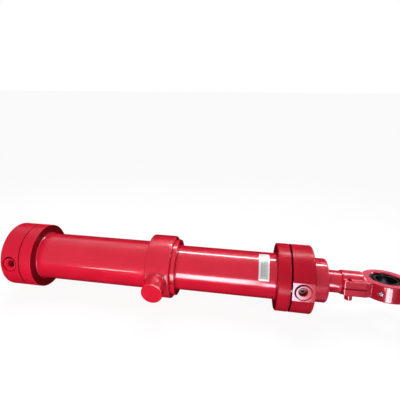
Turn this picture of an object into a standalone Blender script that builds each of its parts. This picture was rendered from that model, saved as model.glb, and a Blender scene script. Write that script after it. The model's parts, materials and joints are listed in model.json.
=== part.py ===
"""Double-acting hydraulic cylinder with bolted heads, a trunnion collar and a clamped spherical rod eye.

Metres, +Z up. +X runs along the cylinder's axis from the cap end to the rod eye.
The trunnion pins lie along Y.
The origin is the centre of the cap end face. The rod is drawn fully retracted.
"""

from math import cos, pi, radians, sin, sqrt, tau

import bmesh
import bpy
from mathutils import Matrix, Vector

RED = (0.62, 0.010, 0.030)

# Driving dimensions.
BORE = 0.100
ROD_D = 0.056
STROKE = 0.600
STROKE_END_GAP = 0.0017
TUBE_OD_CAP = 0.130
TUBE_OD_ROD = 0.120
CAP_HEAD_OD = 0.179
ROD_HEAD_OD = 0.175
HEAD_CHAMFER = 0.003
CAP_HEAD_LEN = 0.056
CAP_FLANGE_LEN = 0.0345
ROD_FLANGE_LEN = 0.0314
ROD_HEAD_LEN = 0.057
ROD_HEAD_FACE = 0.8335
CAP_SPIGOT_LEN = 0.016
ROD_SPIGOT_LEN = 0.020
CAP_FLANGE_EDGE = 0.001
ROD_FLANGE_EDGE = 0.0035

# Relief groove turned into each head at its joint with the flange.
CAP_RELIEF = (0.0018, 0.0030)
ROD_RELIEF = (0.0032, 0.0050)

# Trunnion collar and the split ring that keeps it. Angles run round the cylinder from +Z towards -Y.
COLLAR_START = 0.4080
COLLAR_LEN = 0.0655
COLLAR_OD = 0.170
COLLAR_CHAMFER = 0.003
TRUNNION_D = 0.055
TRUNNION_SPAN = 0.248
PIN_CHAMFER = 0.0015
KEEPER_OD = 0.152
KEEPER_LEN = 0.0115
KEEPER_DEPTH = 0.0035
KEEPER_JOINT_ANGLE = radians(89.5)
KEEPER_JOINT_GAP = 0.0015

# Ports, their plugs and the socket screws of the heads.
PORT_ANGLE = radians(78.5)
PORT_D = 0.019
PORT_MOUTH = 0.0025
SPOTFACE_D = 0.042
SPOTFACE_DEPTH = 0.0025
PORT_FLAT_WIDTH = 0.046
CAP_PORT_X = 0.0275
ROD_PORT_X = 0.8051
PLUG_LEN = 0.012
PLUG_RECESS = 0.009
SCREW_D = 0.012
SCREW_HEAD_D = 0.018
SCREW_COUNT = 8
SCREW_CIRCLE_R = 0.0755
SCREW_GRIP = 0.016
TAPPED_DEPTH = 0.020
COUNTERBORE_DEPTH = 0.013
SOCKET_R = 0.0058
SOCKET_DEPTH = 0.006

# Gland and what it holds.
NOSE_OD = 0.112
NOSE_LEN = 0.038
NOSE_ROUNDING = 0.004
GLAND_THREAD_R = 0.045
GLAND_THREAD_LEN = 0.017
GLAND_RING_GROOVE = 0.0034
BUSH_OUTER_R = 0.0333
SEAL_OUTER_R = 0.0345
WIPER_SEAT_DEPTH = 0.0085
SEAL_FRONT_DEPTH = 0.0150
SEAL_BACK_DEPTH = 0.0250
BUSH_FRONT_DEPTH = 0.0290

# Head spigots with their O-rings, measured from each head's joint face.
SPIGOT_GAP = 0.0004
RING_GROOVE_NEAR = 0.0045
RING_GROOVE_FAR = 0.0105
RING_GROOVE_DEPTH = 0.0042
RING_SECTION_R = 0.0019
NUT_BORE_R = 0.034
NUT_BORE_START = 0.040
CHAMBER_R = 0.0365

# Piston.
PISTON_LEN = 0.075
PISTON_GAP = 0.0005
GUIDE_LEN = 0.0104
GUIDE_INSET = 0.006
GUIDE_DEPTH = 0.0028
SEAL_LEN = 0.012
SEAL_DEPTH = 0.0065
PISTON_RING_LEN = 0.005
PISTON_RING_DEPTH = 0.0032
PISTON_RING_BACK = 0.016
ROD_START = 0.0510
ROD_THREAD_R = 0.021
THREAD_CHAMFER = 0.0015
NUT_FLATS = 0.055
NUT_LEN = 0.0267

# Rod eye in its own frame: bore along Z, shank towards -X.
EYE_X = 1.0195
EYE_OD = 0.112
EYE_WIDTH = 0.041
EYE_END = 0.110
EYE_ROLL = radians(-11.5)
EYE_CHAMFER = 0.003
EYE_THREAD_LEN = 0.046
EYE_THREAD_POINT = 0.056
ROD_THREAD_IN_EYE = 0.042
SHANK_R = 0.031
CLAMP_REACH = 0.040
CLAMP_THICKNESS = 0.038
CLAMP_END = 0.056
SLIT = 0.003
CLAMP_SCREW_X = -0.095
CLAMP_SCREW_Y = -0.0295
BEARING_D = 0.075
BEARING_WIDTH = 0.028
BEARING_MOUTH = 0.0072
BALL_R = 0.033
BALL_WIDTH = 0.035
BALL_BORE_D = 0.050
CIRCLIP_WIDTH = 0.0024
CIRCLIP_GROOVE = 0.0030
CIRCLIP_DEPTH = 0.0018
CIRCLIP_INSIDE = 0.0032
CIRCLIP_OUTSIDE = 0.0012
CIRCLIP_OPENING = radians(16)
NIPPLE_ANGLE = radians(60)
NIPPLE_HOLE_R = 0.0033
NIPPLE_HOLE_DEPTH = 0.012
NIPPLE_SEAT_R = 0.0085
NIPPLE_SEAT_DEPTH = 0.002

PLATE_START = 0.6995
PLATE_WIDTH = 0.0265
PLATE_ARC = (radians(-3.5), radians(69.5))
PLATE_THICKNESS = 0.0006
PLATE_STEPS = 16

GAP = 0.0003
TURNING_GAP = 0.0008
CHAMFER = 0.001
FINE = 36
MEDIUM = 24
SMALL = 16
TINY = 8
SPHERE_STEPS = 6

# Stations along the axis and radii that follow from them.
FLANGE_FACE = CAP_HEAD_LEN + GAP
ROD_HEAD_START = ROD_HEAD_FACE - ROD_HEAD_LEN
TUBE_END = ROD_HEAD_START - GAP
SHOULDER_X = COLLAR_START - GAP
KEEPER_START = COLLAR_START + COLLAR_LEN + GAP
NOSE_START = ROD_HEAD_FACE + GAP
NOSE_END = NOSE_START + NOSE_LEN
GLAND_START = ROD_HEAD_FACE - GLAND_THREAD_LEN + GAP
EYE_FACE = EYE_X - EYE_END
PISTON_END = ROD_HEAD_START - ROD_SPIGOT_LEN - STROKE_END_GAP - STROKE
PISTON_START = PISTON_END - PISTON_LEN
BORE_R = BORE / 2
ROD_R = ROD_D / 2
CAP_R = CAP_HEAD_OD / 2
HEAD_R = ROD_HEAD_OD / 2
PORT_R = PORT_D / 2
SPIGOT_R = BORE_R - SPIGOT_GAP
SCREW_HOLE_R = SCREW_D / 2 + GAP
COUNTERBORE_R = SCREW_HEAD_D / 2 + 0.001
CAP_SEAT = sqrt(CAP_R ** 2 - (SPOTFACE_D / 2) ** 2) - SPOTFACE_DEPTH
PORT_FLAT = sqrt(HEAD_R ** 2 - (PORT_FLAT_WIDTH / 2) ** 2)
ROD_SEAT = PORT_FLAT - SPOTFACE_DEPTH


def clear_scene():
    for old in list(bpy.data.objects):
        bpy.data.objects.remove(old, do_unlink=True)


def material(name, colour, metallic, roughness):
    made = bpy.data.materials.new(name)
    made.use_nodes = True
    shader = made.node_tree.nodes["Principled BSDF"]
    shader.inputs["Base Color"].default_value = (*colour, 1.0)
    shader.inputs["Metallic"].default_value = metallic
    shader.inputs["Roughness"].default_value = roughness
    made.diffuse_color = (*colour, 1.0)
    return made


def add_object(name, mesh, finish):
    made = bpy.data.objects.new(name, mesh)
    bpy.context.collection.objects.link(made)
    mesh.materials.clear()
    mesh.materials.append(finish)
    return made


def shade(mesh):
    """Smooth shading with sharp edges between faces that meet at more than 30 degrees."""
    mesh.shade_smooth()
    mesh.set_sharp_from_angle(angle=radians(30))


def finish_mesh(name, shape):
    """Turn a bmesh into a smooth-shaded mesh and free it."""
    bmesh.ops.remove_doubles(shape, verts=shape.verts, dist=1e-6)
    bmesh.ops.recalc_face_normals(shape, faces=shape.faces)
    mesh = bpy.data.meshes.new(name)
    shape.to_mesh(mesh)
    shape.free()
    shade(mesh)
    return mesh


def turned(name, profile, finish, steps=FINE, closed=True):
    """Spin a profile of (x, radius) points about the X axis. An open profile starts and ends on the axis."""
    shape = bmesh.new()
    points = [shape.verts.new((x, 0.0, radius)) for x, radius in profile]
    pairs = list(zip(points, points[1:]))
    if closed:
        pairs.append((points[-1], points[0]))
    edges = [shape.edges.new(pair) for pair in pairs]
    bmesh.ops.spin(shape, geom=points + edges, cent=(0, 0, 0), axis=(1, 0, 0), angle=tau, steps=steps)
    return add_object(name, finish_mesh(name, shape), finish)


def prism(name, outline, low, high, finish):
    """Extrude an outline of (x, y) points from z = low to z = high."""
    shape = bmesh.new()
    base = shape.faces.new([shape.verts.new((x, y, low)) for x, y in outline])
    raised = bmesh.ops.extrude_face_region(shape, geom=[base])
    tops = [item for item in raised["geom"] if isinstance(item, bmesh.types.BMVert)]
    bmesh.ops.translate(shape, verts=tops, vec=(0, 0, high - low))
    return add_object(name, finish_mesh(name, shape), finish)


def swept(name, outline, start, sweep, steps, finish):
    """Spin a closed outline of (x, radius) points about X over part of a turn, and keep its two end faces."""
    shape = bmesh.new()
    base = shape.faces.new([shape.verts.new((x, 0.0, radius)) for x, radius in outline])
    bmesh.ops.rotate(shape, verts=shape.verts, cent=(0, 0, 0), matrix=Matrix.Rotation(start, 3, "X"))
    section = [*base.verts, *base.edges, base]
    bmesh.ops.spin(shape, geom=section, cent=(0, 0, 0), axis=(1, 0, 0), angle=sweep, steps=steps)
    return add_object(name, finish_mesh(name, shape), finish)


def polygon(sides, radius):
    return [(radius * cos(tau * k / sides), radius * sin(tau * k / sides)) for k in range(sides)]


def box_outline(x0, x1, y0, y1):
    return [(x0, y0), (x1, y0), (x1, y1), (x0, y1)]


def bake(target, transform):
    """Move the mesh itself, so that the object keeps its own origin."""
    target.data.transform(transform)
    return target


def radial(angle, x=0.0):
    """Carry +Z onto the radial direction at an angle from +Z towards -Y, at a station x."""
    return Matrix.Translation((x, 0, 0)) @ Matrix.Rotation(angle, 4, "X")


def combine(target, tool, operation):
    """Apply an exact Boolean and drop the tool."""
    step = target.modifiers.new("cut", "BOOLEAN")
    step.operation = operation
    step.object = tool
    step.solver = "EXACT"
    bpy.context.view_layer.update()
    evaluated = target.evaluated_get(bpy.context.evaluated_depsgraph_get())
    mesh = bpy.data.meshes.new_from_object(evaluated)
    target.modifiers.clear()
    target.data = mesh
    mesh.name = target.name
    bpy.data.objects.remove(tool, do_unlink=True)
    shade(mesh)
    return target


def cut(target, tool):
    return combine(target, tool, "DIFFERENCE")


def chamfered(x0, x1, inner, outer, chamfer):
    """Closed profile of a ring whose two outer corners are chamfered."""
    return [
        (x0, inner),
        (x0, outer - chamfer),
        (x0 + chamfer, outer),
        (x1 - chamfer, outer),
        (x1, outer - chamfer),
        (x1, inner),
    ]


def round_section(x, radius, section_r, steps=6):
    """Closed circular profile of an O-ring that is centred on a station and a radius."""
    turns = [tau * k / steps for k in range(steps)]
    return [(x + section_r * cos(turn), radius + section_r * sin(turn)) for turn in turns]


def make_finishes():
    return {
        "paint": material("gloss_red_paint", RED, 0.0, 0.22),
        "chrome": material("hard_chrome", (0.80, 0.80, 0.82), 1.0, 0.10),
        "steel": material("machined_steel", (0.50, 0.50, 0.51), 1.0, 0.35),
        "black": material("phosphated_steel", (0.025, 0.028, 0.033), 0.6, 0.40),
        "rubber": material("nitrile_rubber", (0.02, 0.02, 0.02), 0.0, 0.65),
        "urethane": material("polyurethane_seal", (0.08, 0.20, 0.42), 0.0, 0.45),
        "bronze": material("bearing_bronze", (0.48, 0.30, 0.12), 1.0, 0.35),
        "resin": material("guide_resin", (0.36, 0.20, 0.10), 0.0, 0.55),
        "plate": material("aluminium_plate", (0.72, 0.74, 0.76), 1.0, 0.38),
        "zinc": material("zinc_plated_steel", (0.70, 0.70, 0.68), 1.0, 0.25),
    }


def barrel_tube(finish):
    """One tube, thick to the collar's shoulder and turned down beyond it, with the keeper ring's groove."""
    thick = TUBE_OD_CAP / 2
    thin = TUBE_OD_ROD / 2
    groove = thin - KEEPER_DEPTH
    profile = [
        (FLANGE_FACE, BORE_R),
        (FLANGE_FACE, thick),
        (SHOULDER_X, thick),
        (SHOULDER_X, thin),
        (KEEPER_START - GAP, thin),
        (KEEPER_START - GAP, groove),
        (KEEPER_START + KEEPER_LEN + GAP, groove),
        (KEEPER_START + KEEPER_LEN + GAP, thin),
        (TUBE_END, thin),
        (TUBE_END, BORE_R),
    ]
    return turned("barrel_tube", profile, finish)


def flange(name, joint_face, face, radii, edge, finish):
    """Ring flange from its joint face to its face on the tube, with blind tapped holes in the joint."""
    inner, outer = radii
    inward = 1 if joint_face > face else -1
    ring = turned(name, [
        (joint_face, inner + GAP),
        (joint_face, outer),
        (face + inward * edge, outer),
        (face + inward * edge * 0.3, outer - edge * 0.3),
        (face, outer - edge),
        (face, inner + GAP),
    ], finish)
    for place in screw_places():
        tool = turned("tool", [
            (-TAPPED_DEPTH, 0),
            (-TAPPED_DEPTH, SCREW_HOLE_R),
            (TAPPED_DEPTH, SCREW_HOLE_R),
            (TAPPED_DEPTH, 0),
        ], finish, TINY, closed=False)
        cut(ring, bake(tool, Matrix.Translation((joint_face, place.y, place.z))))
    return ring


def screw_places():
    """Centres of the head screws, half a pitch away from the port."""
    pitch = tau / SCREW_COUNT
    first = PORT_ANGLE + pitch / 2
    return [
        Vector((0, -SCREW_CIRCLE_R * sin(first + pitch * k), SCREW_CIRCLE_R * cos(first + pitch * k)))
        for k in range(SCREW_COUNT)
    ]


def cap_head(finish):
    """Solid rear head: spigot with an O-ring groove, bore for the piston nut, side port and screw seats."""
    spigot_end = CAP_HEAD_LEN + CAP_SPIGOT_LEN
    groove_r = SPIGOT_R - RING_GROOVE_DEPTH
    bore_start = CAP_PORT_X - PORT_R - CHAMFER
    relief_len, relief_depth = CAP_RELIEF
    profile = [
        (0, 0),
        (0, CAP_R - HEAD_CHAMFER),
        (HEAD_CHAMFER, CAP_R),
        (CAP_HEAD_LEN - relief_len, CAP_R),
        (CAP_HEAD_LEN - relief_len, CAP_R - relief_depth),
        (CAP_HEAD_LEN, CAP_R - relief_depth),
        (CAP_HEAD_LEN, SPIGOT_R),
        (CAP_HEAD_LEN + RING_GROOVE_NEAR, SPIGOT_R),
        (CAP_HEAD_LEN + RING_GROOVE_NEAR, groove_r),
        (CAP_HEAD_LEN + RING_GROOVE_FAR, groove_r),
        (CAP_HEAD_LEN + RING_GROOVE_FAR, SPIGOT_R),
        (spigot_end, SPIGOT_R),
        (spigot_end, NUT_BORE_R),
        (NUT_BORE_START, NUT_BORE_R),
        (NUT_BORE_START, PORT_R),
        (bore_start, PORT_R),
        (bore_start, 0),
    ]
    head = turned("cap_head", profile, finish, closed=False)
    cut_port(head, CAP_PORT_X, CAP_SEAT, 0.0, finish)
    cut_counterbores(head, 0.0, CAP_HEAD_LEN, 1, finish)
    return head


def cut_port(head, x, seat, inward, finish):
    """Spotface at the seat's distance from the axis, and a bore with a chamfered mouth down to inward."""
    tool = turned("tool", [
        (seat + 2 * PLUG_LEN, 0),
        (seat + 2 * PLUG_LEN, SPOTFACE_D / 2),
        (seat, SPOTFACE_D / 2),
        (seat, PORT_R + PORT_MOUTH),
        (seat - PORT_MOUTH, PORT_R),
        (inward, PORT_R),
        (inward, 0),
    ], finish, MEDIUM, closed=False)
    cut(head, bake(tool, radial(PORT_ANGLE, x) @ Matrix.Rotation(-pi / 2, 4, "Y")))


def cut_counterbores(head, face, length, inward, finish):
    """Counterbored clearance holes from an outer face; inward is the sign of X that leads into the head."""
    overrun = 0.002
    for place in screw_places():
        tool = turned("tool", [
            (-overrun, 0),
            (-overrun, COUNTERBORE_R),
            (COUNTERBORE_DEPTH, COUNTERBORE_R),
            (COUNTERBORE_DEPTH, SCREW_HOLE_R),
            (length + overrun, SCREW_HOLE_R),
            (length + overrun, 0),
        ], finish, TINY, closed=False)
        turn = Matrix.Identity(4) if inward > 0 else Matrix.Rotation(pi, 4, "Z")
        cut(head, bake(tool, Matrix.Translation((face, place.y, place.z)) @ turn))


def rod_head(finish):
    """Front head: spigot with an O-ring groove, chamber round the rod, threaded seat and milled port flat."""
    spigot_start = ROD_HEAD_START - ROD_SPIGOT_LEN
    groove_r = SPIGOT_R - RING_GROOVE_DEPTH
    seat_r = GLAND_THREAD_R + GAP
    seat_x = GLAND_START - GAP
    relief_len, relief_depth = ROD_RELIEF
    relief_end = ROD_HEAD_START + relief_len
    profile = [
        (spigot_start, CHAMBER_R),
        (spigot_start, SPIGOT_R),
        (ROD_HEAD_START - RING_GROOVE_FAR, SPIGOT_R),
        (ROD_HEAD_START - RING_GROOVE_FAR, groove_r),
        (ROD_HEAD_START - RING_GROOVE_NEAR, groove_r),
        (ROD_HEAD_START - RING_GROOVE_NEAR, SPIGOT_R),
        (ROD_HEAD_START, SPIGOT_R),
        (ROD_HEAD_START, HEAD_R - relief_depth),
        (relief_end, HEAD_R - relief_depth),
        (relief_end, HEAD_R),
        (ROD_HEAD_FACE - HEAD_CHAMFER, HEAD_R),
        (ROD_HEAD_FACE, HEAD_R - HEAD_CHAMFER),
        (ROD_HEAD_FACE, seat_r),
        (seat_x, seat_r),
        (seat_x, CHAMBER_R),
    ]
    head = turned("rod_head", profile, finish)
    milled = box_outline(relief_end - CHAMFER, NOSE_START + CHAMFER, -HEAD_R, HEAD_R)
    cut(head, bake(prism("tool", milled, PORT_FLAT, ROD_HEAD_OD, finish), radial(PORT_ANGLE)))
    cut_port(head, ROD_PORT_X, ROD_SEAT, ROD_R + 4 * TURNING_GAP, finish)
    cut_counterbores(head, ROD_HEAD_FACE, ROD_HEAD_LEN, -1, finish)
    return head


def gland(finish):
    """Screw-in gland that holds the guide bush, the rod seal and the wiper."""
    nose_r = NOSE_OD / 2
    rod_clear = ROD_R + TURNING_GAP
    ring_floor = GLAND_THREAD_R - GLAND_RING_GROOVE
    ring_back = GLAND_START + 0.0035
    ring_front = ring_back + 0.005
    profile = [
        (GLAND_START, BUSH_OUTER_R),
        (GLAND_START, GLAND_THREAD_R - CHAMFER),
        (GLAND_START + CHAMFER, GLAND_THREAD_R),
        (ring_back, GLAND_THREAD_R),
        (ring_back, ring_floor),
        (ring_front, ring_floor),
        (ring_front, GLAND_THREAD_R),
        (NOSE_START, GLAND_THREAD_R),
        (NOSE_START, nose_r),
        (NOSE_END - NOSE_ROUNDING, nose_r),
        (NOSE_END - NOSE_ROUNDING * 0.3, nose_r - NOSE_ROUNDING * 0.3),
        (NOSE_END, nose_r - NOSE_ROUNDING),
        (NOSE_END, SEAL_OUTER_R),
        (NOSE_END - WIPER_SEAT_DEPTH, SEAL_OUTER_R),
        (NOSE_END - WIPER_SEAT_DEPTH, rod_clear),
        (NOSE_END - SEAL_FRONT_DEPTH, rod_clear),
        (NOSE_END - SEAL_FRONT_DEPTH, SEAL_OUTER_R),
        (NOSE_END - SEAL_BACK_DEPTH, SEAL_OUTER_R),
        (NOSE_END - SEAL_BACK_DEPTH, rod_clear),
        (NOSE_END - BUSH_FRONT_DEPTH, rod_clear),
        (NOSE_END - BUSH_FRONT_DEPTH, BUSH_OUTER_R),
    ]
    return turned("gland", profile, finish)


def gland_inserts(finishes):
    """Guide bush, U-shaped rod seal, wiper lip and the gland's static O-ring."""
    inner = ROD_R + GAP
    outer = SEAL_OUTER_R - GAP
    bush_end = NOSE_END - BUSH_FRONT_DEPTH - GAP
    bush = chamfered(GLAND_START, bush_end, inner, BUSH_OUTER_R - GAP, CHAMFER / 2)
    turned("rod_guide_bush", bush, finishes["bronze"], MEDIUM)
    seal_back = NOSE_END - SEAL_BACK_DEPTH + GAP
    seal_front = NOSE_END - SEAL_FRONT_DEPTH - GAP
    turned("rod_seal", [
        (seal_back, inner + 0.0004),
        (seal_back + 0.0035, 0.0310),
        (seal_back, outer),
        (seal_front, outer),
        (seal_front, inner),
        (seal_back + 0.0020, inner),
    ], finishes["urethane"], MEDIUM)
    wiper_back = NOSE_END - WIPER_SEAT_DEPTH + GAP
    turned("rod_wiper", [
        (wiper_back, inner + 0.0006),
        (wiper_back, outer),
        (NOSE_END - 0.0010, outer),
        (NOSE_END + 0.0004, 0.0318),
        (NOSE_END + 0.0020, inner + 0.0008),
        (NOSE_END + 0.0020, inner),
        (NOSE_END - 0.0020, inner + 0.0010),
    ], finishes["rubber"], MEDIUM)
    half_groove = GLAND_RING_GROOVE / 2
    ring = round_section(GLAND_START + 0.006, GLAND_THREAD_R - half_groove, half_groove - GAP)
    turned("gland_o_ring", ring, finishes["rubber"])


def static_seals(finishes):
    """O-rings in the spigots of the two heads."""
    centre_r = SPIGOT_R - RING_GROOVE_DEPTH / 2
    middle = (RING_GROOVE_NEAR + RING_GROOVE_FAR) / 2
    for name, x in (("cap_head_o_ring", CAP_HEAD_LEN + middle), ("rod_head_o_ring", ROD_HEAD_START - middle)):
        turned(name, round_section(x, centre_r, RING_SECTION_R), finishes["rubber"])


def trunnion_collar(finish):
    """Forged collar with two pins in one piece."""
    end = COLLAR_START + COLLAR_LEN
    rough = chamfered(COLLAR_START, end, TUBE_OD_ROD / 2 - 0.004, COLLAR_OD / 2, COLLAR_CHAMFER)
    ring = turned("trunnion_collar", rough, finish)
    pin_r = TRUNNION_D / 2
    half = TRUNNION_SPAN / 2
    root = COLLAR_OD / 2 - 0.007
    root_rise = 0.002
    pin = turned("tool", [
        (-half, 0),
        (-half, pin_r - PIN_CHAMFER),
        (-half + PIN_CHAMFER, pin_r),
        (-root - 2 * root_rise, pin_r),
        (-root, pin_r + root_rise),
        (root, pin_r + root_rise),
        (root + 2 * root_rise, pin_r),
        (half - PIN_CHAMFER, pin_r),
        (half, pin_r - PIN_CHAMFER),
        (half, 0),
    ], finish, MEDIUM, closed=False)
    middle = COLLAR_START + COLLAR_LEN / 2
    bake(pin, Matrix.Translation((middle, 0, 0)) @ Matrix.Rotation(pi / 2, 4, "Z"))
    combine(ring, pin, "UNION")
    inner = TUBE_OD_ROD / 2 + GAP
    hole = turned("tool", [
        (COLLAR_START - 0.01, 0),
        (COLLAR_START - 0.01, inner),
        (end + 0.01, inner),
        (end + 0.01, 0),
    ], finish, FINE, closed=False)
    return cut(ring, hole)


def keeper_halves(finish):
    """The two halves of the split ring that sits in the tube's groove and holds the collar."""
    inner = TUBE_OD_ROD / 2 - KEEPER_DEPTH + GAP
    profile = chamfered(KEEPER_START, KEEPER_START + KEEPER_LEN, inner, KEEPER_OD / 2, CHAMFER)
    opening = KEEPER_JOINT_GAP / (KEEPER_OD / 2)
    for label, start in (("front", KEEPER_JOINT_ANGLE - pi), ("rear", KEEPER_JOINT_ANGLE)):
        swept("keeper_ring_" + label, profile, start + opening / 2, pi - opening, FINE // 2, finish)


def nameplate(finish):
    """Thin rolled plate that follows the tube."""
    inner = TUBE_OD_ROD / 2 + GAP
    start, end = PLATE_ARC
    section = box_outline(PLATE_START, PLATE_START + PLATE_WIDTH, inner, inner + PLATE_THICKNESS)
    return swept("nameplate", section, start, end - start, PLATE_STEPS, finish)


def port_plug(name, x, seat, finish):
    """Socket plug recessed below its spotface."""
    top = seat - PLUG_RECESS
    radius = PORT_R - GAP
    plug = turned(name, [
        (top - PLUG_LEN, 0),
        (top - PLUG_LEN, radius),
        (top - CHAMFER, radius),
        (top, radius - CHAMFER),
        (top, 0),
    ], finish, SMALL, closed=False)
    bake(plug, Matrix.Rotation(-pi / 2, 4, "Y"))
    cut(plug, prism("tool", polygon(6, SOCKET_R), top - SOCKET_DEPTH, top + SOCKET_DEPTH, finish))
    return bake(plug, radial(PORT_ANGLE, x))


def socket_screw_mesh(length, finish):
    """Cap screw whose head's underside is at z = 0 and whose shank runs down -Z."""
    head_r = SCREW_HEAD_D / 2
    head_h = SCREW_D
    screw = turned("screw", [
        (-length, 0),
        (-length, SCREW_D / 2),
        (0, SCREW_D / 2),
        (0, head_r),
        (head_h - CHAMFER, head_r),
        (head_h, head_r - CHAMFER),
        (head_h, 0),
    ], finish, TINY, closed=False)
    bake(screw, Matrix.Rotation(-pi / 2, 4, "Y"))
    cut(screw, prism("tool", polygon(6, SOCKET_R), head_h - SOCKET_DEPTH, head_h + SOCKET_DEPTH, finish))
    mesh = screw.data
    bpy.data.objects.remove(screw, do_unlink=True)
    return mesh


def head_screws(finish):
    """Both rings of head screws share one mesh each and stand in their counterbores."""
    for label, face, direction, body in (
        ("cap_head_screw", 0.0, -1, CAP_HEAD_LEN),
        ("rod_head_screw", ROD_HEAD_FACE, 1, ROD_HEAD_LEN),
    ):
        mesh = socket_screw_mesh(body - COUNTERBORE_DEPTH + SCREW_GRIP, finish)
        mesh.transform(Matrix.Rotation(direction * pi / 2, 4, "Y"))
        seat = face - direction * (COUNTERBORE_DEPTH - GAP)
        for number, place in enumerate(screw_places(), start=1):
            screw = add_object(f"{label}_{number}", mesh, finish)
            screw.location = (seat, place.y, place.z)


def piston_rod(finish):
    """Rod with a turned-down piston seat and thread at one end and the eye's thread at the other."""
    piston_seat = PISTON_END + GAP
    shoulder = EYE_FACE - GAP
    tip = EYE_FACE + ROD_THREAD_IN_EYE
    profile = [
        (ROD_START, 0),
        (ROD_START, ROD_THREAD_R - THREAD_CHAMFER),
        (ROD_START + THREAD_CHAMFER, ROD_THREAD_R),
        (piston_seat, ROD_THREAD_R),
        (piston_seat, ROD_R),
        (shoulder - CHAMFER, ROD_R),
        (shoulder, ROD_R - CHAMFER),
        (shoulder, ROD_THREAD_R),
        (tip - THREAD_CHAMFER, ROD_THREAD_R),
        (tip, ROD_THREAD_R - THREAD_CHAMFER),
        (tip, 0),
    ]
    return turned("piston_rod", profile, finish, MEDIUM, closed=False)


def grooved(start, end, outer, grooves):
    """Outer half of a ring's profile with chamfered corners and square grooves of (start, length, depth)."""
    points = [(start, outer - CHAMFER), (start + CHAMFER, outer)]
    for x, length, depth in grooves:
        points += [(x, outer), (x, outer - depth), (x + length, outer - depth), (x + length, outer)]
    return points + [(end - CHAMFER, outer), (end, outer - CHAMFER)]


def piston(finishes):
    """Piston with a seal groove between two guide ring grooves, its rings, its rod O-ring and its nut."""
    outer = BORE_R - PISTON_GAP
    bore = ROD_THREAD_R + GAP
    ring_floor = bore + PISTON_RING_DEPTH
    guides = {
        "cap_side": PISTON_START + GUIDE_INSET,
        "rod_side": PISTON_END - GUIDE_INSET - GUIDE_LEN,
    }
    seal_x = (PISTON_START + PISTON_END - SEAL_LEN) / 2
    ring_x = PISTON_END - PISTON_RING_BACK
    outside = grooved(PISTON_START, PISTON_END, outer, [
        (guides["cap_side"], GUIDE_LEN, GUIDE_DEPTH),
        (seal_x, SEAL_LEN, SEAL_DEPTH),
        (guides["rod_side"], GUIDE_LEN, GUIDE_DEPTH),
    ])
    body = turned("piston", [
        (PISTON_START, bore),
        *outside,
        (PISTON_END, bore),
        (ring_x + PISTON_RING_LEN, bore),
        (ring_x + PISTON_RING_LEN, ring_floor),
        (ring_x, ring_floor),
        (ring_x, bore),
    ], finishes["steel"], MEDIUM)
    sliding_r = BORE_R - GAP
    for label, x in guides.items():
        floor = outer - GUIDE_DEPTH + TURNING_GAP
        section = box_outline(x + GAP, x + GUIDE_LEN - GAP, floor, sliding_r)
        turned("piston_guide_ring_" + label, section, finishes["resin"], MEDIUM)
    seal_floor = outer - SEAL_DEPTH + TURNING_GAP
    seal = chamfered(seal_x + GAP, seal_x + SEAL_LEN - GAP, seal_floor, sliding_r, 0.0015)
    turned("piston_seal", seal, finishes["urethane"], MEDIUM)
    half_depth = PISTON_RING_DEPTH / 2
    section = round_section(ring_x + PISTON_RING_LEN / 2, bore + half_depth, half_depth - 0.0004)
    o_ring = turned("piston_o_ring", section, finishes["rubber"], MEDIUM)
    nut_face = PISTON_START - GAP
    hexagon = polygon(6, NUT_FLATS / sqrt(3))
    nut = prism("piston_nut", hexagon, nut_face - NUT_LEN, nut_face, finishes["steel"])
    bake(nut, Matrix.Rotation(pi / 2, 4, "Y"))
    thread = [(0, 0), (0, bore), (BORE, bore), (BORE, 0)]
    cut(nut, turned("tool", thread, finishes["steel"], MEDIUM, closed=False))
    return [body, o_ring, nut]


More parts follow.
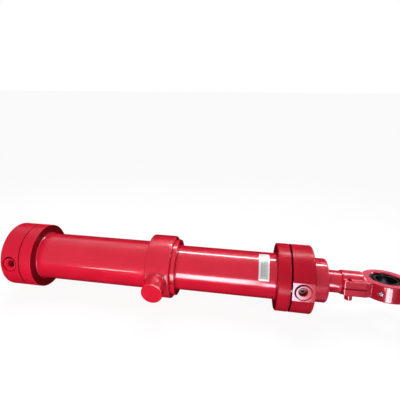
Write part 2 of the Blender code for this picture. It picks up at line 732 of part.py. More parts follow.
def rod_eye(finish):
    """Forged eye: ring, round shank and side clamp that is slit down its middle, in its own frame."""
    half = EYE_WIDTH / 2
    ring_r = EYE_OD / 2
    side = CLAMP_THICKNESS / 2
    neck = -CLAMP_END + 0.014
    eye = turned("rod_eye", [
        (-half, 0),
        (-half, ring_r - EYE_CHAMFER),
        (-half + EYE_CHAMFER, ring_r),
        (half - EYE_CHAMFER, ring_r),
        (half, ring_r - EYE_CHAMFER),
        (half, 0),
    ], finish, FINE, closed=False)
    bake(eye, Matrix.Rotation(-pi / 2, 4, "Y"))
    shank = turned("tool", [
        (-EYE_END, 0),
        (-EYE_END, SHANK_R - THREAD_CHAMFER),
        (-EYE_END + THREAD_CHAMFER, SHANK_R),
        (-CLAMP_END - 0.004, SHANK_R),
        (neck, half + CHAMFER),
        (neck, 0),
    ], finish, MEDIUM, closed=False)
    combine(eye, shank, "UNION")
    clamp = prism("tool", [
        (-EYE_END, 0),
        (-EYE_END, -CLAMP_REACH + 0.002),
        (-EYE_END + 0.002, -CLAMP_REACH),
        (-CLAMP_END, -CLAMP_REACH),
        (-CLAMP_END + 0.016, -CLAMP_REACH + 0.006),
        (-CLAMP_END + 0.016, 0),
    ], -side, side, finish)
    combine(eye, clamp, "UNION")
    cut(eye, bearing_seat(finish))
    thread_r = ROD_THREAD_R + GAP
    thread = turned("tool", [
        (-EYE_OD, 0),
        (-EYE_OD, thread_r),
        (-EYE_END + EYE_THREAD_LEN, thread_r),
        (-EYE_END + EYE_THREAD_POINT, 0),
    ], finish, MEDIUM, closed=False)
    cut(eye, thread)
    slot = box_outline(-EYE_OD, -CLAMP_END + CHAMFER, -EYE_WIDTH, 0.0)
    cut(eye, prism("tool", slot, -SLIT / 2, SLIT / 2, finish))
    screw_place = Matrix.Translation((CLAMP_SCREW_X, CLAMP_SCREW_Y, 0))
    cut(eye, bake(prism("tool", polygon(TINY, SCREW_HOLE_R), -EYE_WIDTH, EYE_WIDTH, finish), screw_place))
    cut(eye, bake(prism("tool", polygon(SMALL, COUNTERBORE_R), -EYE_WIDTH, -side, finish), screw_place))
    hole_start = ring_r - NIPPLE_HOLE_DEPTH
    seat = ring_r - NIPPLE_SEAT_DEPTH
    drill = turned("tool", [
        (hole_start, 0),
        (hole_start, NIPPLE_HOLE_R),
        (seat, NIPPLE_HOLE_R),
        (seat, NIPPLE_SEAT_R),
        (EYE_OD, NIPPLE_SEAT_R),
        (EYE_OD, 0),
    ], finish, SMALL, closed=False)
    cut(eye, bake(drill, nipple_frame()))
    return eye


def nipple_frame():
    """Carry +X onto the grease nipple's radial direction in the eye's frame."""
    return Matrix.Rotation(pi + NIPPLE_ANGLE, 4, "Z")


def bearing_seat(finish):
    """Cutter for the bearing's bore with its mouth chamfers and two circlip grooves."""
    half = EYE_WIDTH / 2
    bore = BEARING_D / 2 + GAP
    groove = bore + CIRCLIP_DEPTH
    inner = BEARING_WIDTH / 2
    outer = inner + CIRCLIP_GROOVE
    lower = [
        (-half - 0.005, 0),
        (-half - 0.005, bore + BEARING_MOUTH),
        (-half + 0.0022, bore),
        (-outer, bore),
        (-outer, groove),
        (-inner, groove),
        (-inner, bore),
    ]
    upper = [(-x, radius) for x, radius in reversed(lower)]
    seat = turned("tool", lower + upper, finish, MEDIUM, closed=False)
    return bake(seat, Matrix.Rotation(-pi / 2, 4, "Y"))


def spherical_zone(half, radius):
    """Points of (x, radius) along a sphere's zone, from -half to half."""
    stations = [half * (2 * k / SPHERE_STEPS - 1) for k in range(SPHERE_STEPS + 1)]
    return [(x, sqrt(radius ** 2 - x ** 2)) for x in stations]


def spherical_bearing(finish):
    """Outer ring with a spherical race, ball with a pin bore, and the two circlips that hold them."""
    half = BEARING_WIDTH / 2
    ring_r = BEARING_D / 2
    outer = turned("eye_bearing_outer_ring", [
        (-half, ring_r - CHAMFER),
        (-half + CHAMFER, ring_r),
        (half - CHAMFER, ring_r),
        (half, ring_r - CHAMFER),
        *reversed(spherical_zone(half, BALL_R + 2 * GAP)),
    ], finish, MEDIUM)
    face = BALL_WIDTH / 2
    bore = BALL_BORE_D / 2
    ball = turned("eye_bearing_ball", [
        (-face, bore + TURNING_GAP),
        *spherical_zone(face, BALL_R),
        (face, bore + TURNING_GAP),
        (face - TURNING_GAP, bore),
        (-face + TURNING_GAP, bore),
    ], finish, MEDIUM)
    upright = Matrix.Rotation(-pi / 2, 4, "Y")
    clip_start = half + GAP
    clip_end = clip_start + CIRCLIP_WIDTH
    upper = box_outline(clip_start, clip_end, ring_r - CIRCLIP_INSIDE, ring_r + CIRCLIP_OUTSIDE)
    lower = box_outline(-clip_end, -clip_start, ring_r - CIRCLIP_INSIDE, ring_r + CIRCLIP_OUTSIDE)
    pieces = [outer, ball]
    for label, section in (("upper", upper), ("lower", lower)):
        name = "eye_circlip_" + label
        pieces.append(swept(name, section, CIRCLIP_OPENING / 2, tau - CIRCLIP_OPENING, SMALL, finish))
    return [bake(piece, upright) for piece in pieces]


def grease_nipple(finish):
    """Nipple that stands in its seat on the ring's rim: shank, body, neck and ball tip."""
    seat = EYE_OD / 2 - NIPPLE_SEAT_DEPTH + GAP
    shank_r = NIPPLE_HOLE_R - GAP
    body_r = 0.0055
    neck_r = 0.0026
    tip_r = 0.0036
    nipple = turned("grease_nipple", [
        (seat - 0.006, 0),
        (seat - 0.006, shank_r),
        (seat, shank_r),
        (seat, body_r),
        (seat + 0.0060, body_r),
        (seat + 0.0070, tip_r),
        (seat + 0.0088, tip_r),
        (seat + 0.0100, neck_r),
        (seat + 0.0112, tip_r),
        (seat + 0.0130, neck_r - 0.0003),
        (seat + 0.0130, 0),
    ], finish, SMALL, closed=False)
    return bake(nipple, nipple_frame())


def clamp_screw(finish):
    """The eye's clamp screw, its head under the clamp."""
    side = CLAMP_THICKNESS / 2
    screw = add_object("eye_clamp_screw", socket_screw_mesh(CLAMP_THICKNESS - SOCKET_DEPTH, finish), finish)
    place = Matrix.Translation((CLAMP_SCREW_X, CLAMP_SCREW_Y, -side - GAP)) @ Matrix.Rotation(pi, 4, "X")
    return bake(screw, place)


def add_empty(name):
    made = bpy.data.objects.new(name, None)
    bpy.context.collection.objects.link(made)
    return made


def sliding_group(finishes):
    """Rod, piston and eye, parented to the rod axis; the ball turns about the eye's own bore."""
    axis = add_empty("rod_axis")
    for piece in [piston_rod(finishes["chrome"]), *piston(finishes)]:
        piece.parent = axis
    eye_centre = add_empty("eye_centre")
    eye_centre.parent = axis
    eye_centre.location = (EYE_X, 0, 0)
    eye_centre.rotation_euler = (EYE_ROLL, 0, 0)
    eye_pieces = [rod_eye(finishes["paint"]), grease_nipple(finishes["zinc"]), clamp_screw(finishes["paint"])]
    for piece in eye_pieces + spherical_bearing(finishes["black"]):
        piece.parent = eye_centre


def main():
    clear_scene()
    finishes = make_finishes()
    paint = finishes["paint"]
    barrel_tube(paint)
    cap_radii = (TUBE_OD_CAP / 2, CAP_R)
    rod_radii = (TUBE_OD_ROD / 2, HEAD_R)
    flange("cap_flange", FLANGE_FACE, FLANGE_FACE + CAP_FLANGE_LEN, cap_radii, CAP_FLANGE_EDGE, paint)
    flange("rod_flange", TUBE_END, TUBE_END - ROD_FLANGE_LEN, rod_radii, ROD_FLANGE_EDGE, paint)
    cap_head(paint)
    rod_head(paint)
    gland(paint)
    gland_inserts(finishes)
    static_seals(finishes)
    trunnion_collar(paint)
    keeper_halves(paint)
    nameplate(finishes["plate"])
    port_plug("cap_port_plug", CAP_PORT_X, CAP_SEAT, paint)
    port_plug("rod_port_plug", ROD_PORT_X, ROD_SEAT, paint)
    head_screws(paint)
    sliding_group(finishes)


main()
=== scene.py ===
"""Looks for the hydraulic cylinder: fine painted shells, bearing, chrome and nameplate round the CAD frame.

Metres, +Z up, +X from the cap end to the rod eye. Every piece is built where the CAD's boxes say.
Angles round the cylinder are measured from +Z towards -Y, the side of the ports and the camera.
"""

import json
from math import cos, pi, radians, sin, sqrt, tan, tau

import bmesh
import bpy
from mathutils import Matrix, Vector

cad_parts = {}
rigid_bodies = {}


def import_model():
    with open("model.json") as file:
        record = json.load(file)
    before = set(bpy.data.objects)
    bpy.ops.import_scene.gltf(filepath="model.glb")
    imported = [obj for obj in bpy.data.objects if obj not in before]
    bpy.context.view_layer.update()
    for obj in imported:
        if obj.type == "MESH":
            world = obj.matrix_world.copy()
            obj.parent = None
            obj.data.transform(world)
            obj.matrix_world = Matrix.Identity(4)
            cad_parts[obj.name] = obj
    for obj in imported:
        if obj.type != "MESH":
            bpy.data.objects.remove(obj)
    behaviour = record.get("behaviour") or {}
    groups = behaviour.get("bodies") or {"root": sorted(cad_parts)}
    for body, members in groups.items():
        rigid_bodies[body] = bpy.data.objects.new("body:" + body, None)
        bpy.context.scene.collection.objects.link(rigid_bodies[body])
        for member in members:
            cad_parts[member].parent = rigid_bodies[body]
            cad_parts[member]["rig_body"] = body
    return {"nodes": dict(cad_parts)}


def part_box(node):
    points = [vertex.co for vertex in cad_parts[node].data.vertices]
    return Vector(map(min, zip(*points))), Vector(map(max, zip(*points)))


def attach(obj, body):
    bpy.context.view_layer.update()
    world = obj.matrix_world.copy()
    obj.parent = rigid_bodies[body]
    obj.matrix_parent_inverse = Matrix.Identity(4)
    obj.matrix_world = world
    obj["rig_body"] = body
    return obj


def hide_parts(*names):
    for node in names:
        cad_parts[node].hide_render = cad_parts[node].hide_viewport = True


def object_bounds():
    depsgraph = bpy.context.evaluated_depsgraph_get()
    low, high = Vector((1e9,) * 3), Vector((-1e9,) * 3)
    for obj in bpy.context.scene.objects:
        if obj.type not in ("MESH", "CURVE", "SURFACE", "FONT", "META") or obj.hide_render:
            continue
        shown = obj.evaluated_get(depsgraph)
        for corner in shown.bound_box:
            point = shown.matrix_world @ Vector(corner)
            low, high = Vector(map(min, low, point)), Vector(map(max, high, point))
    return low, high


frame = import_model()
cad_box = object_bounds()


def span(node):
    """First and last station of a CAD node along X."""
    low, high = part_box(node)
    return low.x, high.x


# Stations and radii that the CAD gives.
GAP = 0.0003
CAP_HEAD_END = span("cap_flange")[0] - GAP
ROD_FLANGE_END = span("rod_flange")[1]
TUBE_START, TUBE_END = span("barrel_tube")
COLLAR_START, COLLAR_END = span("trunnion_collar")
KEEPER_START, KEEPER_END = span("keeper_ring_front")
ROD_HEAD_FACE = span("rod_head")[1]
NOSE_END = span("gland")[1]
EYE_FACE = span("rod_eye")[0]
PLATE_START, PLATE_END = span("nameplate")
CAP_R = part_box("cap_head")[1].z
HEAD_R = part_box("rod_head")[1].z
TUBE_R_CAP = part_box("barrel_tube")[1].z
COLLAR_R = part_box("trunnion_collar")[1].z
KEEPER_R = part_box("keeper_ring_front")[1].z
NOSE_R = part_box("gland")[1].z
ROD_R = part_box("piston_rod")[1].z
FLOOR_Z = cad_box[0].z

# The CAD's driving dimensions that no box holds.
TUBE_R_ROD = 0.060
BORE_R = 0.050
SHOULDER_X = COLLAR_START - GAP
KEEPER_DEPTH = 0.0035
KEEPER_JOINT = radians(89.5)
KEEPER_OPENING = radians(1.13)
PORT_ANGLE = radians(78.5)
PORT_OUT = Vector((0, -sin(PORT_ANGLE), cos(PORT_ANGLE)))
PORT_UP = Vector((0, cos(PORT_ANGLE), sin(PORT_ANGLE)))
PORT_R = 0.0095
SPOTFACE_R = 0.021
SPOTFACE_DEPTH = 0.0025
PLUG_RECESS = 0.009
# Reach of the painted shadow's inner edge in each port's spotface.
PORT_SHADOW_REACH = 0.018
PORT_FLAT_HALF = 0.023
CAP_PORT_X = 0.0275
ROD_PORT_X = 0.8051
PORT_FLAT_R = sqrt(HEAD_R ** 2 - PORT_FLAT_HALF ** 2)
CAP_SEAT_R = sqrt(CAP_R ** 2 - SPOTFACE_R ** 2) - SPOTFACE_DEPTH
ROD_SEAT_R = PORT_FLAT_R - SPOTFACE_DEPTH
SPIGOT_R = BORE_R - 0.0004
SCREW_CIRCLE_R = 0.0755
SCREW_COUNT = 8
SCREW_R = 0.006
SCREW_HEAD_R = 0.009
COUNTERBORE_DEPTH = 0.013
TRUNNION_R = 0.0275
TRUNNION_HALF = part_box("trunnion_collar")[1].y
EYE_X = 1.0195
EYE_ROLL = radians(-11.5)
EYE_R = 0.056
EYE_HALF = 0.0205
SHANK_R = 0.031
CLAMP_REACH = 0.040
CLAMP_HALF = 0.019
CLAMP_END = 0.056
SLIT = 0.003
CLAMP_SCREW_X = -0.095
CLAMP_SCREW_Y = -0.0295
BEARING_R = 0.0375
BEARING_HALF = 0.014
BALL_R = 0.033
BALL_HALF = 0.0175
BALL_BORE_R = 0.025
NIPPLE_ANGLE = radians(60)
NIPPLE_SEAT_R = 0.0085
NIPPLE_SEAT_DEPTH = 0.002
PLATE_ARC = (radians(-3.5), radians(69.5))
UPRIGHT = Matrix.Rotation(-pi / 2, 4, "Y")

# Length and depth of the relief groove in each head at its joint.
CAP_RELIEF = (0.0022, 0.0032)
ROD_RELIEF = (0.0037, 0.0055)

# Mesh fineness.
ROUND_STEPS = 144
EYE_STEPS = 96
CLIP_STEPS = 90
MID_STEPS = 72
SMALL_STEPS = 40
ARC_STEPS = 4
SUPPORT = 0.00004

EDGE = 0.0012

# Light and dark patches of the enamel in full gloss, then of the same red darkened as painted shade: on the
# rod head, on the plugs, on faces turned along X and in grooves.
ENAMEL = ((0.715, 0.0076, 0.034), (0.655, 0.0056, 0.028))
ENAMEL_ROD_HEAD_SHADE = ((0.580, 0.0075, 0.027), (0.520, 0.0060, 0.023))
ENAMEL_PLUG_SHADE = ((0.20, 0.004, 0.014), (0.12, 0.003, 0.010))
ENAMEL_SIDE_SHADE = ((0.26, 0.0035, 0.012), (0.21, 0.0025, 0.010))
ENAMEL_GROOVE_SHADE = ((0.035, 0.0008, 0.003), (0.025, 0.0006, 0.002))
# Colour of the painted shadow in the ports' spotfaces.
PORT_SHADOW_PAINT = (0.045, 0.0010, 0.0060, 1.0)
GLOSS_PEEL = (900.0, 0.0000035)
DULL_PEEL = (600.0, 0.000006)
HEAD_COAT = (0.22, 0.16)
HEAD_SPECULAR = 0.25

# Camera: eye point, aim, roll and lens of the view from the port side, above the middle of the barrel.
CAMERA_AT = Vector((0.6507, -0.7316, 0.5119))
CAMERA_AIM = Vector((0.4412, 0.5528, 0.0))
CAMERA_ROLL = -0.0023
CAMERA_LENS = 28.44
CAMERA_SHIFT = (0.0110, -0.0137)


# Mesh tools.

def add_object(name, mesh, finish):
    made = bpy.data.objects.new(name, mesh)
    bpy.context.scene.collection.objects.link(made)
    mesh.materials.clear()
    mesh.materials.append(finish)
    return made


def closed_mesh(shape, name):
    """Mesh of a closed bmesh, with its normals outward."""
    bmesh.ops.recalc_face_normals(shape, faces=shape.faces)
    mesh = bpy.data.meshes.new(name)
    shape.to_mesh(mesh)
    shape.free()
    return mesh


def smooth(mesh, degrees=35):
    mesh.shade_smooth()
    mesh.set_sharp_from_angle(angle=radians(degrees))


def rounded(corners):
    """Profile points from (x, radius) or (x, radius, fillet) corners; a fillet becomes an arc.

    A support point on either side of the arc keeps the shading of the long faces flat.
    """
    outline = []
    for k, corner in enumerate(corners):
        here = Vector(corner[:2])
        fillet = corner[2] if len(corner) > 2 else 0.0
        if fillet == 0.0:
            outline.append((here.x, here.y))
            continue
        back = (Vector(corners[k - 1][:2]) - here).normalized()
        ahead = (Vector(corners[(k + 1) % len(corners)][:2]) - here).normalized()
        half = back.angle(ahead) / 2
        centre = here + (back + ahead).normalized() * fillet / sin(half)
        first = (here + back * fillet / tan(half) - centre).normalized()
        last = (here + ahead * fillet / tan(half) - centre).normalized()
        outline.append(tuple(here + back * (fillet / tan(half) + SUPPORT)))
        for step in range(ARC_STEPS + 1):
            way = first.slerp(last, step / ARC_STEPS) * fillet
            outline.append((centre.x + way.x, centre.y + way.y))
        outline.append(tuple(here + ahead * (fillet / tan(half) + SUPPORT)))
    return outline


def lathe(name, corners, finish, steps=ROUND_STEPS, closed=True, sweep=tau, start=0.0):
    """Spin a profile about X. A closed profile makes a ring; an open one starts and ends on the axis."""
    shape = bmesh.new()
    outline = rounded(corners)
    points = [shape.verts.new((x, 0.0, radius)) for x, radius in outline]
    pairs = list(zip(points, points[1:]))
    if closed:
        pairs.append((points[-1], points[0]))
    edges = [shape.edges.new(pair) for pair in pairs]
    geometry = points + edges
    if sweep < tau:
        geometry.append(shape.faces.new(points))
        bmesh.ops.rotate(shape, verts=points, cent=(0, 0, 0), matrix=Matrix.Rotation(start, 3, "X"))
    bmesh.ops.spin(shape, geom=geometry, cent=(0, 0, 0), axis=(1, 0, 0), angle=sweep, steps=steps)
    bmesh.ops.remove_doubles(shape, verts=shape.verts, dist=1e-6)
    mesh = closed_mesh(shape, name)
    smooth(mesh)
    return add_object(name, mesh, finish)


def prism(name, outline, low, high, finish):
    """Extrude an outline of (x, y) points from z = low to z = high."""
    shape = bmesh.new()
    base = shape.faces.new([shape.verts.new((x, y, low)) for x, y in outline])
    raised = bmesh.ops.extrude_face_region(shape, geom=[base])
    tops = [item for item in raised["geom"] if isinstance(item, bmesh.types.BMVert)]
    bmesh.ops.translate(shape, verts=tops, vec=(0, 0, high - low))
    return add_object(name, closed_mesh(shape, name), finish)


def polygon(sides, radius):
    return [(radius * cos(tau * k / sides), radius * sin(tau * k / sides)) for k in range(sides)]


def bake(piece, transform):
    piece.data.transform(transform)
    return piece


def radial(angle, x=0.0):
    """Carry +Z onto the radial direction at an angle from +Z towards -Y, at a station x."""
    return Matrix.Translation((x, 0, 0)) @ Matrix.Rotation(angle, 4, "X")


def settle(piece):
    """Replace a piece's mesh by what its modifiers make of it."""
    bpy.context.view_layer.update()
    evaluated = piece.evaluated_get(bpy.context.evaluated_depsgraph_get())
    mesh = bpy.data.meshes.new_from_object(evaluated)
    piece.modifiers.clear()
    piece.data = mesh
    mesh.name = piece.name
    return piece


def combine(piece, tool, operation):
    """Apply an exact Boolean and drop the tool."""
    step = piece.modifiers.new("cut", "BOOLEAN")
    step.operation = operation
    step.object = tool
    step.solver = "EXACT"
    settle(piece)
    bpy.data.objects.remove(tool, do_unlink=True)
    smooth(piece.data)
    return piece


def cut(piece, tool):
    return combine(piece, tool, "DIFFERENCE")


def true_normals(piece, radius, flat=None):
    """Give a carved turned piece clean normals: radial on its cylinder, flat on its milled face."""
    mesh = piece.data
    normals = [Vector(corner.vector) for corner in mesh.corner_normals]
    for face in mesh.polygons:
        centre = face.center
        out = Vector((0, centre.y, centre.z))
        on_cylinder = abs(face.normal.x) < 0.01 and abs(out.length - radius) < GAP
        on_flat = flat is not None and face.normal.dot(flat) > 0.99999
        for loop in face.loop_indices:
            point = mesh.vertices[mesh.loops[loop].vertex_index].co
            if on_flat:
                normals[loop] = flat.copy()
            elif on_cylinder and out.normalized().dot(face.normal) > 0.99:
                normals[loop] = Vector((0, point.y, point.z)).normalized()
    mesh.normals_split_custom_set(normals)
    return piece


def reface(piece, finish, test):
    """Give the faces that pass a test another finish."""
    piece.data.materials.append(finish)
    index = len(piece.data.materials) - 1
    for face in piece.data.polygons:
        if test(face):
            face.material_index = index


def in_groove(start, end, low, high):
    """Test for the faces of a turned groove between two stations and two radii."""
    def test(face):
        reach = sqrt(face.center.y ** 2 + face.center.z ** 2)
        return start - GAP < face.center.x < end + GAP and low < reach < high
    return test


def on_spotface(x, seat):
    """Test for the floor of a port's spotface."""
    middle = Vector((x, 0, 0)) + PORT_OUT * seat

    def test(face):
        apart = face.center - middle
        level = face.normal.dot(PORT_OUT) > 0.999 and abs(apart.dot(PORT_OUT)) < GAP
        return level and apart.length < SPOTFACE_R
    return test


# Materials.

def new_material(name):
    made = bpy.data.materials.new(name)
    made.use_nodes = True
    shader = made.node_tree.nodes["Principled BSDF"]
    return made, made.node_tree, shader


def noise(tree, scale, detail=2.0):
    """Noise in the piece's own coordinates, which are the frame's metres."""
    place = tree.nodes.new("ShaderNodeTexCoord")
    made = tree.nodes.new("ShaderNodeTexNoise")
    made.inputs["Scale"].default_value = scale
    made.inputs["Detail"].default_value = detail
    tree.links.new(place.outputs["Object"], made.inputs["Vector"])
    return made.outputs["Fac"]


def ramp(tree, source, stops):
    """Colour ramp from (position, colour) stops."""
    made = tree.nodes.new("ShaderNodeValToRGB")
    elements = made.color_ramp.elements
    while len(elements) < len(stops):
        elements.new(0.5)
    for element, (position, colour) in zip(elements, stops):
        element.position = position
        element.color = (*colour, 1.0)
    tree.links.new(source, made.inputs["Fac"])
    return made.outputs["Color"]


def math(tree, operation, *values):
    """Maths node from numbers and sockets."""
    made = tree.nodes.new("ShaderNodeMath")
    made.operation = operation
    for socket, value in zip(made.inputs, values):
        if isinstance(value, (int, float)):
            socket.default_value = value
        else:
            tree.links.new(value, socket)
    return made.outputs["Value"]


def blend(tree, factor, first, second):
    """Colour mix of two colours or sockets."""
    made = tree.nodes.new("ShaderNodeMix")
    made.data_type = "RGBA"
    tree.links.new(factor, made.inputs[0])
    colours = [socket for socket in made.inputs if socket.type == "RGBA"]
    for socket, value in zip(colours, (first, second)):
        if isinstance(value, tuple):
            socket.default_value = value
        else:
            tree.links.new(value, socket)
    return next(socket for socket in made.outputs if socket.type == "RGBA")


def bump(tree, shader, height, distance, previous=None):
    """Bump of a height in metres, on top of a previous bump if there is one."""
    made = tree.nodes.new("ShaderNodeBump")
    made.inputs["Strength"].default_value = 1.0
    made.inputs["Distance"].default_value = distance
    tree.links.new(height, made.inputs["Height"])
    if previous is not None:
        tree.links.new(previous, made.inputs["Normal"])
    tree.links.new(made.outputs["Normal"], shader.inputs["Normal"])
    return made.outputs["Normal"]


def paint(name, tones, peel, coat=(1.0, 0.045), specular=0.35):
    """Gloss enamel: a slightly uneven red under a clear gloss with orange peel of some scale and depth."""
    made, tree, shader = new_material(name)
    light, dark = tones
    peel_scale, peel_depth = peel
    tone = ramp(tree, noise(tree, 14.0, 3.0), [(0.36, dark), (0.64, light)])
    tree.links.new(tone, shader.inputs["Base Color"])
    shader.inputs["Specular IOR Level"].default_value = specular
    shader.inputs["Coat Weight"].default_value = coat[0]
    shader.inputs["Coat Roughness"].default_value = coat[1]
    haze = ramp(tree, noise(tree, 45.0, 3.0), [(0.3, (0.30, 0.30, 0.30)), (0.7, (0.42, 0.42, 0.42))])
    tree.links.new(haze, shader.inputs["Roughness"])
    wave = bump(tree, shader, noise(tree, peel_scale / 9, 1.0), peel_depth * 6)
    peeled = bump(tree, shader, noise(tree, peel_scale), peel_depth, wave)
    tree.links.new(peeled, shader.inputs["Coat Normal"])
    return made


def painted_port_shadow(made, centre, reach):
    """Painted shadow: beyond a reach from a centre the paint turns dark and dull, a crescent of painted
    shade at one side of a port's spotface.
    """
    softness = 0.0008
    tree = made.node_tree
    shader = tree.nodes["Principled BSDF"]
    place = tree.nodes.new("ShaderNodeTexCoord")
    apart = tree.nodes.new("ShaderNodeVectorMath")
    apart.operation = "DISTANCE"
    tree.links.new(place.outputs["Object"], apart.inputs[0])
    apart.inputs[1].default_value = centre
    clear = tree.nodes.new("ShaderNodeMapRange")
    clear.inputs["From Min"].default_value = reach + softness
    clear.inputs["From Max"].default_value = reach - softness
    tree.links.new(apart.outputs["Value"], clear.inputs["Value"])
    unshadowed = clear.outputs["Result"]
    for socket in ("Coat Weight", "Specular IOR Level"):
        level = math(tree, "MULTIPLY", unshadowed, shader.inputs[socket].default_value)
        tree.links.new(level, shader.inputs[socket])
    tone = shader.inputs["Base Color"].links[0].from_socket
    tree.links.new(blend(tree, unshadowed, PORT_SHADOW_PAINT, tone), shader.inputs["Base Color"])
    return made


def metal(name, light, dark, rough, grain=(300.0, 12.0, 12.0), depth=0.00001):
    """Metal with a fine grain that is stretched by different scales along X, Y and Z."""
    made, tree, shader = new_material(name)
    place = tree.nodes.new("ShaderNodeTexCoord")
    stretch = tree.nodes.new("ShaderNodeMapping")
    stretch.inputs["Scale"].default_value = grain
    tree.links.new(place.outputs["Object"], stretch.inputs["Vector"])
    lines = tree.nodes.new("ShaderNodeTexNoise")
    lines.inputs["Scale"].default_value = 1.0
    lines.inputs["Detail"].default_value = 4.0
    tree.links.new(stretch.outputs["Vector"], lines.inputs["Vector"])
    tone = ramp(tree, lines.outputs["Fac"], [(0.3, dark), (0.7, light)])
    tree.links.new(tone, shader.inputs["Base Color"])
    low, high = rough
    gloss = ramp(tree, lines.outputs["Fac"], [(0.3, (low,) * 3), (0.7, (high,) * 3)])
    tree.links.new(gloss, shader.inputs["Roughness"])
    bump(tree, shader, lines.outputs["Fac"], depth)
    shader.inputs["Metallic"].default_value = 1.0
    return made


def soft_stuff(name, light, dark, rough, scale, depth):
    """Rubber, urethane or resin with a fine uneven surface."""
    made, tree, shader = new_material(name)
    tree.links.new(ramp(tree, noise(tree, scale), [(0.3, dark), (0.7, light)]), shader.inputs["Base Color"])
    shader.inputs["Roughness"].default_value = rough
    bump(tree, shader, noise(tree, scale * 3, 3.0), depth)
    return made


def plate_material():
    """Satin aluminium with a grey printed panel, a frame and generic bars, drawn round the tube."""
    made, tree, shader = new_material("plate_print")
    place = tree.nodes.new("ShaderNodeTexCoord")
    parts = tree.nodes.new("ShaderNodeSeparateXYZ")
    tree.links.new(place.outputs["Object"], parts.inputs["Vector"])
    width = PLATE_END - PLATE_START
    arc = PLATE_ARC[1] - PLATE_ARC[0]
    across = math(tree, "MULTIPLY_ADD", parts.outputs["X"], 1 / width, -PLATE_START / width)
    turn = math(tree, "ARCTAN2", math(tree, "MULTIPLY", parts.outputs["Y"], -1.0), parts.outputs["Z"])
    along = math(tree, "MULTIPLY_ADD", turn, 1 / arc, -PLATE_ARC[0] / arc)

    def inside(value, low, high):
        above = math(tree, "GREATER_THAN", value, low)
        below = math(tree, "LESS_THAN", value, high)
        return math(tree, "MULTIPLY", above, below)

    printed_rows = inside(along, 0.24, 0.88)
    panel = math(tree, "MULTIPLY", inside(across, 0.16, 0.84), inside(along, 0.07, 0.94))
    rows = math(tree, "FRACT", math(tree, "MULTIPLY", along, 15.0))
    bar_rows = math(tree, "MULTIPLY", inside(rows, 0.25, 0.68), printed_rows)
    bars = math(tree, "MULTIPLY", inside(across, 0.42, 0.62), bar_rows)
    field = math(tree, "MULTIPLY", inside(across, 0.24, 0.34), printed_rows)
    marks = math(tree, "MAXIMUM", bars, field)
    base = ramp(tree, panel, [(0.0, (0.88, 0.88, 0.88)), (1.0, (0.60, 0.63, 0.60))])
    ink = (0.10, 0.11, 0.13, 1.0)
    tree.links.new(blend(tree, math(tree, "MULTIPLY", marks, 0.40), base, ink), shader.inputs["Base Color"])
    shader.inputs["Metallic"].default_value = 0.25
    scratch = ramp(tree, noise(tree, 240.0, 3.0), [(0.3, (0.30,) * 3), (0.7, (0.42,) * 3)])
    tree.links.new(scratch, shader.inputs["Roughness"])
    bump(tree, shader, noise(tree, 300.0, 2.0), 0.00001)
    return made


def make_finishes():
    return {
        "paint": paint("gloss_enamel", ENAMEL, GLOSS_PEEL),
        # Enamel darkened as painted shade: on the plugs, on faces turned along X, in grooves and on the rod
        # head.
        "plug_painted_shade": paint("plug_enamel_darkened_as_painted_shade", ENAMEL_PLUG_SHADE, (600.0, 0.00001), (0.3, 0.10)),
        "side_painted_shade": paint("enamel_with_painted_shade_on_side_faces", ENAMEL_SIDE_SHADE, DULL_PEEL, (0.08, 0.20), 0.10),
        "groove_painted_shade": paint("enamel_with_painted_groove_shade", ENAMEL_GROOVE_SHADE, DULL_PEEL, (0.0, 0.20), 0.05),
        "head_paint": paint("enamel_on_cap_head", ENAMEL, DULL_PEEL, HEAD_COAT, HEAD_SPECULAR),
        "rod_head_paint_with_painted_shade": paint("enamel_on_rod_head_with_painted_shade", ENAMEL_ROD_HEAD_SHADE, DULL_PEEL, (0.12, 0.18), 0.16),
        "cast_paint": paint("enamel_on_forging", ENAMEL, (420.0, 0.000012)),
        "chrome": metal("hard_chrome", (0.82, 0.82, 0.84), (0.74, 0.75, 0.78), (0.06, 0.14),
                        (900.0, 6.0, 6.0), 0.000002),
        "steel": metal("turned_steel", (0.56, 0.56, 0.57), (0.42, 0.42, 0.43), (0.28, 0.45)),
        "black": metal("phosphated_steel", (0.050, 0.056, 0.060), (0.018, 0.020, 0.023), (0.30, 0.50),
                       (260.0, 260.0, 260.0), 0.00001),
        "dark_ball": metal("greased_ball", (0.055, 0.060, 0.060), (0.030, 0.034, 0.034), (0.38, 0.55)),
        "zinc": metal("zinc_plate", (0.78, 0.78, 0.76), (0.60, 0.60, 0.57), (0.16, 0.30),
                      (180.0, 180.0, 180.0)),
        "bronze": metal("bearing_bronze", (0.58, 0.36, 0.15), (0.40, 0.24, 0.09), (0.28, 0.42)),
        "urethane": soft_stuff("seal_urethane", (0.10, 0.24, 0.48), (0.06, 0.17, 0.37),
                               0.42, 220.0, 0.00002),
        "resin": soft_stuff("guide_resin", (0.40, 0.23, 0.12), (0.30, 0.16, 0.08), 0.55, 500.0, 0.00004),
        "rubber": soft_stuff("nitrile_rubber", (0.030, 0.030, 0.030), (0.014, 0.014, 0.015),
                             0.60, 300.0, 0.00003),
        "plate": plate_material(),
    }


def stand_for(piece, node):
    """The piece shows in place of a CAD node and moves with its body."""
    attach(piece, frame["nodes"][node]["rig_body"])
    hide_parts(node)


# Barrel side.

